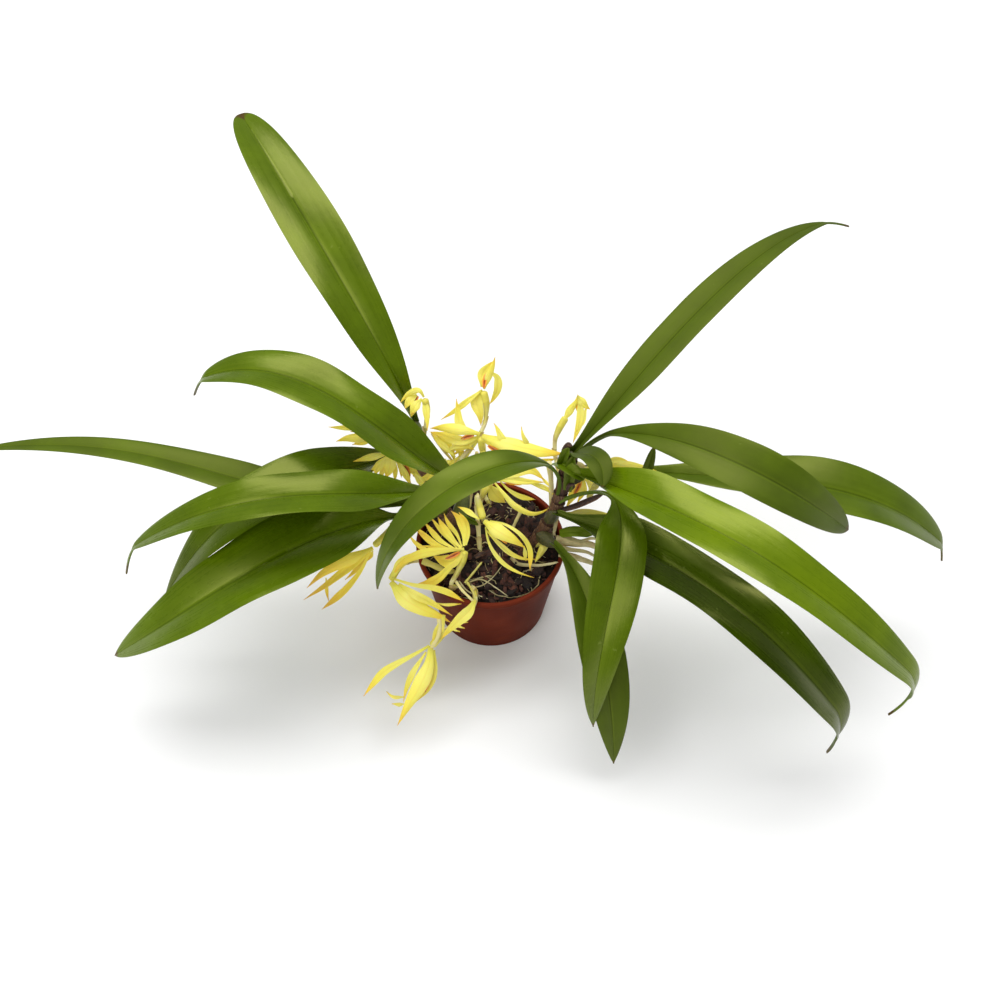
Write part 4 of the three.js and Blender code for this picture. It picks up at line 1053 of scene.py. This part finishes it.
     "stalk": [[424, 560, 74], [408, 562, 82], [397, 570, 88], [391, 580, 88]],
     "lip": [[400, 589, 88], [411, 599, 86], [419, 604, 84]],
     "tepals": [
         (12.2, 0.35, 0, [[391, 582, 88], [404, 598, 88], [423, 609.5, 82], [438, 616, 76],
                          [450.5, 622.6, 72]]),
         (6.1, 0.4, 0.1, [[399, 584, 89], [416, 595, 90], [432, 602.5, 84], [452, 616, 76]]),
         (4.9, 0.75, 0.05, [[394, 579, 90], [414, 585, 92], [432, 588, 90], [447, 592.5, 86],
                            [464, 601.5, 80]]),
         (2.3, 0.5, 0.3, [[436, 603, 82], [447, 605, 80], [462, 603.5, 78]]),
         (6.8, 0.45, 0.05, [[391, 580, 89], [400, 564, 94], [412, 556, 98], [424, 553, 100]]),
     ]},
    {"name": "bloom_low", "root": [-14, -34, 74], "ripe": 0.9,
     "stalk": [[474, 590, 81], [475, 602, 81], [463, 616, 78], [449, 628, 74], [438, 639, 68],
               [431.5, 646, 65]],
     "lip": [[431, 662, 60], [429, 676, 54], [425, 692, 46]],
     "tepals": [
         (11.4, 0.42, 0, [[431, 646, 66], [428.5, 666, 62], [419.5, 686.5, 52], [408, 706, 40],
                          [397.3, 725.5, 30]]),
         (5.3, 0.5, 0.55, [[434, 650, 64], [434.5, 670, 56], [428, 688, 46], [416, 702, 38]]),
         (4.6, 0.5, 0.15, [[426, 652, 64], [413, 672.5, 58], [406.5, 688, 48], [403.5, 702, 40]]),
         (5.7, 0.66, 0, [[429, 646, 66], [412.5, 655.5, 66], [396.5, 664, 62], [384, 672, 56],
                         [374, 683, 50], [363.5, 696.3, 42]]),
         (2.7, 0.4, 0.45, [[404, 697, 44], [394, 697, 46], [386, 691.5, 48]]),
         (3, 0.4, 0.45, [[404, 704, 40], [398, 704.5, 40], [392, 703.5, 40]]),
         (6.8, 0.5, 0.3, [[444, 615, 78], [441, 625, 76], [436, 636, 70], [432, 646, 66]]),
         (8.4, 0.35, 0.05, [[475, 600, 83], [469, 611, 82], [459, 620, 80], [448, 631, 75], [441, 639, 70]]),
         (2, 0.3, 0.1, [[457, 620, 80], [463, 622, 79], [468, 622.5, 77]]),
         (2, 0.3, 0.1, [[454, 624, 78], [460, 627, 77], [465, 628, 75]]),
         (1.8, 0.3, 0.1, [[451, 627, 77], [456, 630.5, 75], [460, 632, 73]]),
     ]},
    {"name": "bloom_left", "aged": 0.66, "root": [-34, 10, 96],
     "stalk": [[402, 515, 96], [393, 524, 98], [384, 536, 97], [374, 546, 93]],
     "lip": [[366, 552, 90], [358, 560, 86], [352, 567, 82]],
     "tepals": [
         (9.1, 0.35, 0.08, [[373, 548, 93], [357, 556, 92], [338, 564.5, 86], [322, 574, 78],
                            [306.7, 588, 68]]),
         (6.1, 0.35, 0.1, [[371, 551, 91], [357, 562, 86], [343, 572, 80], [326, 585, 72],
                           [303.8, 599.6, 60]]),
         (5.3, 0.72, 0.05, [[370, 552, 90], [361, 570, 80], [347, 588, 70], [335, 599, 62],
                            [322, 609.2, 56]]),
         (2.7, 0.5, 0.1, [[326, 578, 76], [326.8, 590, 68], [328.5, 601, 62]]),
         (5.3, 0.4, 0.5, [[371, 550, 90], [362, 563, 82], [354, 572, 76], [345, 580, 72]]),
         (3, 0.4, 0.4, [[373, 551, 90], [371, 556, 86], [366, 562, 82]]),
     ]},
    {"name": "bloom_under_left", "root": [-43, 28, 106],
     "stalk": [[412, 470, 126], [408, 460, 138], [399, 454, 150], [391, 453, 156]],
     "lip": [[398, 460, 150], [406, 468, 146], [410, 478, 141]],
     "tepals": [
         (5.3, 0.5, 0, [[390, 453, 156], [374, 456.5, 158], [353.5, 461.3, 156]]),
         (4.6, 0.5, 0.1, [[389, 455, 155], [378, 465, 152], [369, 474, 148]]),
         (9.1, 0.45, 0, [[391, 454, 156], [390, 466, 152], [386, 478, 146]]),
         (5.3, 0.5, 0.5, [[393, 456, 154], [401, 465, 148], [401, 478, 142]]),
         (6.1, 0.4, 0.1, [[394, 456, 153], [410, 468, 144], [425, 483, 136]]),
         (4.6, 0.6, 0, [[391, 454, 156], [381, 465, 153], [373, 476, 148]]),
         (4.2, 0.6, 0.1, [[392, 455, 155], [395, 468, 150], [395, 482, 144]]),
         (4.6, 0.6, 0, [[396, 458, 152], [405, 473, 146], [411, 486, 139]]),
         (3.8, 0.6, 0.2, [[390, 455, 155], [383, 470, 150], [379, 482, 145]]),
         (5.3, 0.5, 0, [[413, 472, 143], [420, 480, 138], [428, 488, 132]]),
     ]},
    {"name": "bloom_behind_left", "root": [-51, 50, 116],
     "stalk": [[414, 446, 130], [402, 438, 142], [388, 433, 150], [376, 434, 153]],
     "lip": [[374, 434, 152], [366, 436, 150], [360, 438, 149]],
     "tepals": [
         (6.8, 0.5, 0.2, [[377, 434, 153], [362, 437.5, 152], [347, 438, 150], [336, 441.5, 148]]),
         (4.6, 0.5, 0.4, [[377, 433, 153], [358, 428, 156], [343, 427.5, 154], [328.2, 426.8, 152]]),
         (5.3, 0.5, 0.3, [[377, 434, 153], [366, 441, 148], [352, 445, 144]]),
         (4.6, 0.5, 0.3, [[377, 434, 153], [364, 431, 156], [350, 432, 157]]),
     ]},
    {"name": "bloom_right", "root": [54, 13, 142],
     "stalk": [[578, 474, 146], [588, 470, 150], [600, 465, 154]],
     "lip": [[602, 465, 153], [609, 466.5, 151], [615, 468.5, 150]],
     "tepals": [
         (4.9, 0.5, 0, [[601, 464, 154], [618, 462.5, 158], [640, 467, 157], [662, 474, 152]]),
         (4.6, 0.55, 0.25, [[601, 465, 153], [622, 467, 152], [645, 471, 149], [658, 473.5, 148]]),
         (3.8, 0.5, 0.1, [[601, 464, 154], [616, 459.5, 158], [630, 462, 158]]),
         (3.8, 0.5, 0.3, [[601, 465, 153], [618, 470, 148], [634, 474, 145]]),
     ]},
    {"name": "bloom_right_low", "root": [51, 14, 150],
     "stalk": [[574, 463, 148], [584, 468, 142], [586, 474, 132], [583, 477, 124]],
     "lip": [[581, 480, 119], [577.5, 488, 113], [573.5, 495, 108]],
     "tepals": [
         (7.6, 0.4, 0.35, [[582, 476, 122], [578, 489, 112], [571.5, 499, 104], [566, 508, 98]]),
         (6.8, 0.45, 0.7, [[585, 477, 122], [592, 489, 110], [587, 500, 100]]),
         (5.3, 0.5, 0.2, [[582, 478, 121], [573, 490, 110], [567, 500, 104]]),
         (5.3, 0.5, 0.2, [[584, 478, 120], [583, 492, 106], [577, 503, 98]]),
     ]},
]
SHOWN = np.array([0, -0.5, 0.87])  # the way that the faces of the tepals mostly turn


def facing(path, twist):
    """The unit directions across a blade along a path and out of its face, turned by twist in radians."""
    ahead = unit(np.gradient(path, axis=0))
    level = unit(np.cross(ahead, SHOWN))
    lift = np.cross(level, ahead)
    turn = np.reshape(twist, (-1, 1))
    return level * np.cos(turn) + lift * np.sin(turn), lift * np.cos(turn) - level * np.sin(turn)


def petal_marks(stage, blush, across=0.0, paper=0.0, olive=0.0):
    """The marks that petal_skin reads.

    Stage runs from 0 on a stalk through 1 in the heart to 2 at a tepal's point. Blush varies the
    tone, and paper and olive are shares of those two looks. On the tepals the olive look is painted
    shade where they lie in shadow, and on buds and spent stalks it is an olive tint.
    """
    return {"stage": stage, "across": across, "blush": blush, "paper": paper, "olive": olive}


def tepal_shell(tepal, domed, aged, draw):
    """A narrow blade along its line: it widens as a smoothstep, then thins to a drawn-out tip.

    A domed one shows its rounded back, the others are channelled. Each twists a little, and its
    margins are gently waved. An aged one is nearer to gold from its heart on.
    """
    # A tepal's olive share is painted shade: an olive tint where it lies in shadow.
    width, widest, olive, line = tepal
    path = smooth_path(seen(line), TEPAL_ROWS)
    s = np.linspace(0, 1, TEPAL_ROWS)
    path += (TEPAL_SWAY * np.sin(2 * np.pi * s + draw.uniform(0, 6)) * s)[:, None] * np.array([0.5, 0.2, 0.8])
    level, lift = facing(path, math.radians(draw.uniform(-TEPAL_TWIST, TEPAL_TWIST)) * (0.4 + s))
    beyond = np.clip((s - widest) / (1 - widest), 0, 1)
    half = width / 2 * (0.34 + 0.66 * smoothstep(s, 0, widest)) * (1 - beyond ** 1.45)
    half = np.maximum(half, TEPAL_TIP / 2 * np.sqrt(np.clip((1.004 - s) * 12, 0, 1))) * MM
    inner, outer = TEPAL_DOMED if domed else TEPAL_CHANNELLED
    rings, across, _ = folded_blade(path, level, lift, half, inner, outer, TEPAL_THICK, BLADE_COLUMNS)
    wave = 0.07 * half[:, None] * np.sin(9 * s[:, None] + draw.uniform(0, 6) + across) * across ** 2
    rings = rings + wave[..., None] * lift[:, None]
    return rings, petal_marks(1 + aged + (1 - aged) * s[:, None], draw.uniform(0, 1), across, olive=olive)


def stalk_shell(bloom):
    """The stalk and the ovary that ends it, with six shallow grooves, and its path and length."""
    path = smooth_path(np.vstack([np.array(bloom["root"]) * MM, seen(bloom["stalk"])]), STALK_ROWS)
    run = np.linalg.norm(np.diff(path, axis=0), axis=1).sum()
    left = (1 - np.linspace(0, 1, STALK_ROWS)) * run
    swell = 1 - smoothstep(left, 0.5 * OVARY_LENGTH, 1.6 * OVARY_LENGTH)
    radius = STALK_RADIUS + (OVARY_RADIUS - STALK_RADIUS) * swell
    radius *= np.sqrt(np.clip((left + 0.3 * MM) / (1.4 * MM), 0, 1))
    grooved = radius[:, None] * (1 + 0.05 * np.cos(6 * round_turn(STALK_SIDES)))
    rings = path[:, None] + grooved[..., None] * around(path, STALK_SIDES)
    stage = np.maximum(swell, bloom.get("ripe", 0))[:, None]
    return (rings, petal_marks(stage, 0.5)), path, run


def bract_shells(path, run, draw):
    """Papery bracts on the stalk: open sleeves that hug it and end in a point on one side."""
    shells = []
    rows = np.linspace(0, 1, BRACT_ROWS)
    turn = round_turn(BRACT_SIDES)
    for foot in np.arange(0.08, 0.72, BRACT_SPACING / run):
        share = foot + rows * min(BRACT_LENGTH / run, 0.9 - foot)
        spine = places_along(path, share)
        pointed = np.cos(turn - draw.uniform(0, 6.28)) * 0.5 + 0.5
        flare = (0.2 + 0.6 * rows[:, None] ** 2 * (0.3 + pointed)) * MM
        ring = around(spine, BRACT_SIDES)
        slide = -(1 - pointed) * rows[:, None] * BRACT_SLANT
        ahead = unit(np.gradient(spine, axis=0))
        outside = spine[:, None] + (STALK_RADIUS + flare)[..., None] * ring
        outside = outside + slide[..., None] * ahead[:, None]
        wall, edge = thin_wall(outside, outside - BRACT_THICK * ring, rows)
        shells.append((wall, petal_marks(0.0, edge, paper=1.0)))
    return shells


def petal_skin():
    """Waxy yellow: olive on the stalk, green-gold at the ovary, clear yellow, and orange at the points.

    A faint glow stands for the daylight that passes through the thin tepals.
    """
    finish = Finish("petal_skin", {"Coat Weight": 0.06, "Coat Roughness": 0.3, "Subsurface Weight": 0.3,
                                   "Subsurface Scale": 0.003, "Subsurface Radius": (1.0, 0.7, 0.1),
                                   "Emission Strength": 0.1})
    stage, across, blush = finish.mark("stage"), finish.mark("across"), finish.mark("blush")
    mottle = finish.noise(finish.place(), 4 * MM, 3.0)
    vein = finish.wave(across * 16 + mottle * 1.2)
    age = stage * 0.5 + (mottle - 0.5) * 0.05 + (blush - 0.5) * 0.03 * finish.step(stage, 1.2, 1.9)
    flesh = finish.ramp(age, [(0.0, "b8b058"), (0.25, "ccc46a"), (0.48, "c6bc48"), (0.55, "f0e65c"),
                              (0.66, "fff478"), (0.86, "ffec5a"), (0.95, "fcd640"), (1.0, "e6ae36")])
    lined = finish.mix(vein * 0.14 * finish.step(stage, 1.0, 1.3), flesh, colour("dcb62a"))
    rib = 1 - finish.step(abs(across), 0.0, 0.16)
    ribbed = finish.mix(rib * 0.22 * finish.step(stage, 1.0, 1.2), lined, colour("c0bb38"))
    husk = finish.ramp(blush * 0.8 + mottle * 0.2, [(0.1, "dcd592"), (0.6, "d2c383"), (0.95, "a98f5c")])
    # Painted shade: tepals that lie in shadow are turned towards olive by their olive mark.
    shaded = finish.mix(finish.mark("olive") * 0.75, ribbed, colour("b5ad40"))
    skin = finish.mix(finish.mark("paper"), shaded, husk)
    finish.paint({"Base Color": skin, "Emission Color": skin, "Roughness": 0.42 + mottle * 0.15})
    finish.relief(vein * 0.5 + mottle * 0.5, 0.12 * MM)
    return finish


petal_finish = petal_skin()
for seed, bloom in enumerate(BLOOMS):
    draw = np.random.default_rng(400 + seed)
    stalk, path, run = stalk_shell(bloom)
    aged = bloom.get("aged", 0)
    tepals = [tepal_shell(tepal, k == 0, aged, draw) for k, tepal in enumerate(bloom["tepals"])]
    grown = [stalk, *bract_shells(path, run, draw), *tepals]
    make_piece(f"{bloom['name']}_flower", grown, petal_finish, [bloom["name"]])


# Each bloom's lip is a small orange tongue in its heart, thicker and glossier than the tepals,
# with a brown-red keel down its middle.
LIP_WIDTH, LIP_THICK, LIP_FOLD = 4, 1.0 * MM, (34.0, 20.0)
LIP_TWIST, LIP_ROWS = 0.25, 28


def lip_shell(bloom):
    """A folded tongue along the lip's line, widest just before its middle and blunt at its end."""
    path = smooth_path(seen(bloom["lip"]), LIP_ROWS)
    s = np.linspace(0, 1, LIP_ROWS)
    level, lift = facing(path, LIP_TWIST)
    blunt = np.sqrt(np.clip((1 - s) * 8, 0.05, 1))
    half = LIP_WIDTH / 2 * (0.4 + 0.6 * np.sin(np.pi * s ** 0.8)) * blunt * MM
    rings, across, _ = folded_blade(path, level, lift, half, *LIP_FOLD, LIP_THICK, BLADE_COLUMNS)
    return rings, {"across": across}


def lip_skin():
    """Waxy orange, yellow at the margins and brown-red along the keel."""
    finish = Finish("lip_skin", {"Coat Weight": 0.3, "Coat Roughness": 0.2, "Subsurface Weight": 0.12,
                                 "Subsurface Scale": 0.003})
    mottle = finish.noise(finish.place(), 1.5 * MM)
    from_keel = abs(finish.mark("across")) + (mottle - 0.5) * 0.3
    tone = finish.ramp(from_keel, [(0.1, "7d2f12"), (0.35, "c9601a"), (0.7, "f0901f"), (1.0, "ffc22e")])
    finish.paint({"Base Color": tone, "Roughness": 0.32 + mottle * 0.15})
    finish.relief(mottle, 0.15 * MM)
    return finish


lip_finish = lip_skin()
for bloom in BLOOMS:
    make_piece(f"{bloom['name']}_tongue", [lip_shell(bloom)], lip_finish, [f"{bloom['name']}_lip"])


# Two buds are still shut: pale pointed spindles on short stalks, of the same waxy flesh as the
# blooms, each grown from a stem.
BUD_ROWS, BUD_SIDES = 70, 24
BUDS = [
    {"name": "bud_right", "radius": 3.4, "root": [43, 4, 106], "base": [58, 4, 108], "tip": [84, 4, 106]},
    {"name": "bud_front", "radius": 3, "root": [30, -4, 78], "base": [38, -10, 92], "tip": [31, -22, 86]},
]


def bud_shell(bud):
    """A spindle on the stalk's curve whose radius swells as a sine past its first third."""
    share = np.linspace(0, 1, BUD_ROWS)
    path = smooth_path(np.array([bud["root"], bud["base"], bud["tip"]]) * MM, BUD_ROWS)
    past = np.maximum(0, (share - 0.3) / 0.7)
    swell = bud["radius"] * np.clip(np.sin(np.pi * past ** 0.7), 0, 1) ** 0.8
    stalk = np.where(share > 0.9, 0.25, STALK_RADIUS / MM)
    radius = np.maximum(stalk, swell)[:, None] * (1 + 0.05 * np.cos(3 * round_turn(BUD_SIDES))) * MM
    rings = path[:, None] + radius[..., None] * around(path, BUD_SIDES)
    return rings, petal_marks(0.4 + 0.75 * past[:, None], 0.5, olive=0.25)


for bud in BUDS:
    make_piece(f"{bud['name']}_spindle", [bud_shell(bud)], petal_finish, [bud["name"]])


# Small grown things round the stems: folded green leaf bases, scraps of brown sheath, and spent
# flower stalks and shoots, all part of the plant's own growth.
SCRAP_THICK, SCRAP_TWIST, SCRAP_ROWS = 1.0 * MM, 0.3, 30
BASE_FOLD, PAPER_FOLD = 38.0, (-8.0, -40.0)
SPENT_ROWS, SPENT_SIDES = 40, 14
LEAF_BASES = [
    {"width": 11, "tone": 0.45, "line": [[557, 463, 152], [564, 466, 158], [573, 472, 160], [584, 480, 158]]},
    {"width": 9, "tone": 0.15, "line": [[568, 490, 140], [570, 479, 148], [571, 468, 158], [574, 456, 166]]},
    {"width": 8, "tone": 0.25, "line": [[561, 468, 152], [565, 456, 164], [569, 448, 170]]},
    {"width": 8, "tone": 0.35, "fold": 14.0,
     "line": [[560, 534, 100], [569, 532, 104], [580, 532, 106], [593, 534, 104]]},
    {"width": 5, "tone": 0.1, "line": [[458, 515, 100], [468, 520, 100], [478, 525, 104]]},
]
PAPER_SCRAPS = [
    {"width": 3.5, "line": [[563, 457, 160], [564, 449, 168], [568, 444, 172], [572, 446, 174]]},
    {"width": 3, "line": [[567, 490, 142], [569, 485, 146], [575, 484, 148]]},
    {"width": 6, "line": [[547, 528, 94], [551, 519, 102], [556, 508, 110]]},
    {"width": 5, "line": [[560, 510, 114], [574, 506, 119], [589, 500, 124], [603, 494, 128]]},
    {"width": 4, "line": [[563, 494, 124], [568, 489, 130], [575, 486, 133]]},
    {"width": 6, "line": [[541, 551, 84], [545, 541, 92], [551, 531, 98]]},
    {"width": 4, "line": [[475, 557, 87], [480, 554, 89], [486, 553, 87]]},
]
SPENT = [
    {"radius": 2.0, "husk": 1,
     "line": [[549, 463, 150], [551, 480, 130], [551, 507, 104], [549, 519, 94], [541, 529, 84]]},
    {"radius": 0.9, "husk": 0, "line": [[465, 583, 80], [474, 572, 84], [482, 562, 86]]},
    {"radius": 2.3, "husk": 0, "line": [[423, 561, 84], [435, 566, 84], [446, 571, 84], [455, 571, 82]]},
    {"radius": 2.4, "husk": 0, "line": [[596, 485, 128], [592, 492, 122], [588, 499, 118]]},
    {"radius": 1.8, "husk": 1, "line": [[619, 501, 132], [637, 510, 130], [654, 519, 126]]},
    {"radius": 1.3, "husk": 1, "line": [[521, 511, 96], [516, 521, 90], [512, 530, 84]]},
    {"radius": 1.6, "husk": 1, "line": [[439, 619, 78], [440, 628, 75], [437, 639, 72], [431, 648, 66]]},
    {"radius": 1.1, "husk": 1, "line": [[455, 580, 80], [462, 590, 83], [470, 598, 84], [475, 603, 82]]},
    {"radius": 0.9, "husk": 0, "line": [[467, 582, 80], [473, 592, 83], [476, 602, 82]]},
    {"radius": 1.2, "husk": 1, "line": [[477, 452, 120], [473, 466, 110], [470, 482, 98], [468, 496, 88]]},
    {"radius": 1.0, "husk": 0, "line": [[470, 448, 124], [461, 458, 116], [455, 470, 106], [452, 486, 94]]},
    {"radius": 1.1, "husk": 1, "line": [[432, 433, 134], [440, 446, 126], [450, 458, 116], [460, 474, 102]]},
]


def scrap_shell(scrap, slopes):
    """A short folded blade along its line, blunt at both ends."""
    path = smooth_path(seen(scrap["line"]), SCRAP_ROWS)
    s = np.linspace(0, 1, SCRAP_ROWS)
    level, lift = facing(path, SCRAP_TWIST)
    blunt = np.sqrt(np.clip((1.02 - s) * 5, 0, 1))
    half = scrap["width"] / 2 * (0.75 + 0.25 * np.sin(np.pi * s)) * blunt * MM
    return folded_blade(path, level, lift, half, *slopes, SCRAP_THICK, BLADE_COLUMNS)


base_shells = []
for base in LEAF_BASES:
    fold = base.get("fold", BASE_FOLD)
    rings, across, upper = scrap_shell(base, (fold, fold / 2))
    marks = {"along": 0.3, "across": across, "upper": upper, "tone": base["tone"], "dull": 0.15}
    base_shells.append((rings, marks))
make_piece("leaf_bases", base_shells, leaf_finish)

paper_shells = []
for scrap in PAPER_SCRAPS:
    rings, across, _ = scrap_shell(scrap, PAPER_FOLD)
    paper_shells.append((rings, {"paper": 1.0, "edge": abs(across)}))
make_piece("sheath_scraps", paper_shells, stem_finish)

spent_shells = []
for stalk in SPENT:
    path = smooth_path(seen(stalk["line"]), SPENT_ROWS)
    share = np.linspace(0, 1, SPENT_ROWS)
    radius = stalk["radius"] * MM * (1 - 0.25 * share) * np.sqrt(np.clip((1.01 - share) * 14, 0.02, 1))
    radius = radius * (1 + 0.08 * np.sin(17 * share))
    marks = petal_marks(0.3 * share[:, None], 0.35, paper=float(stalk["husk"]), olive=0.2)
    spent_shells.append((tube(path, radius, SPENT_SIDES), marks))
make_piece("spent_stalks", spent_shells, petal_finish)
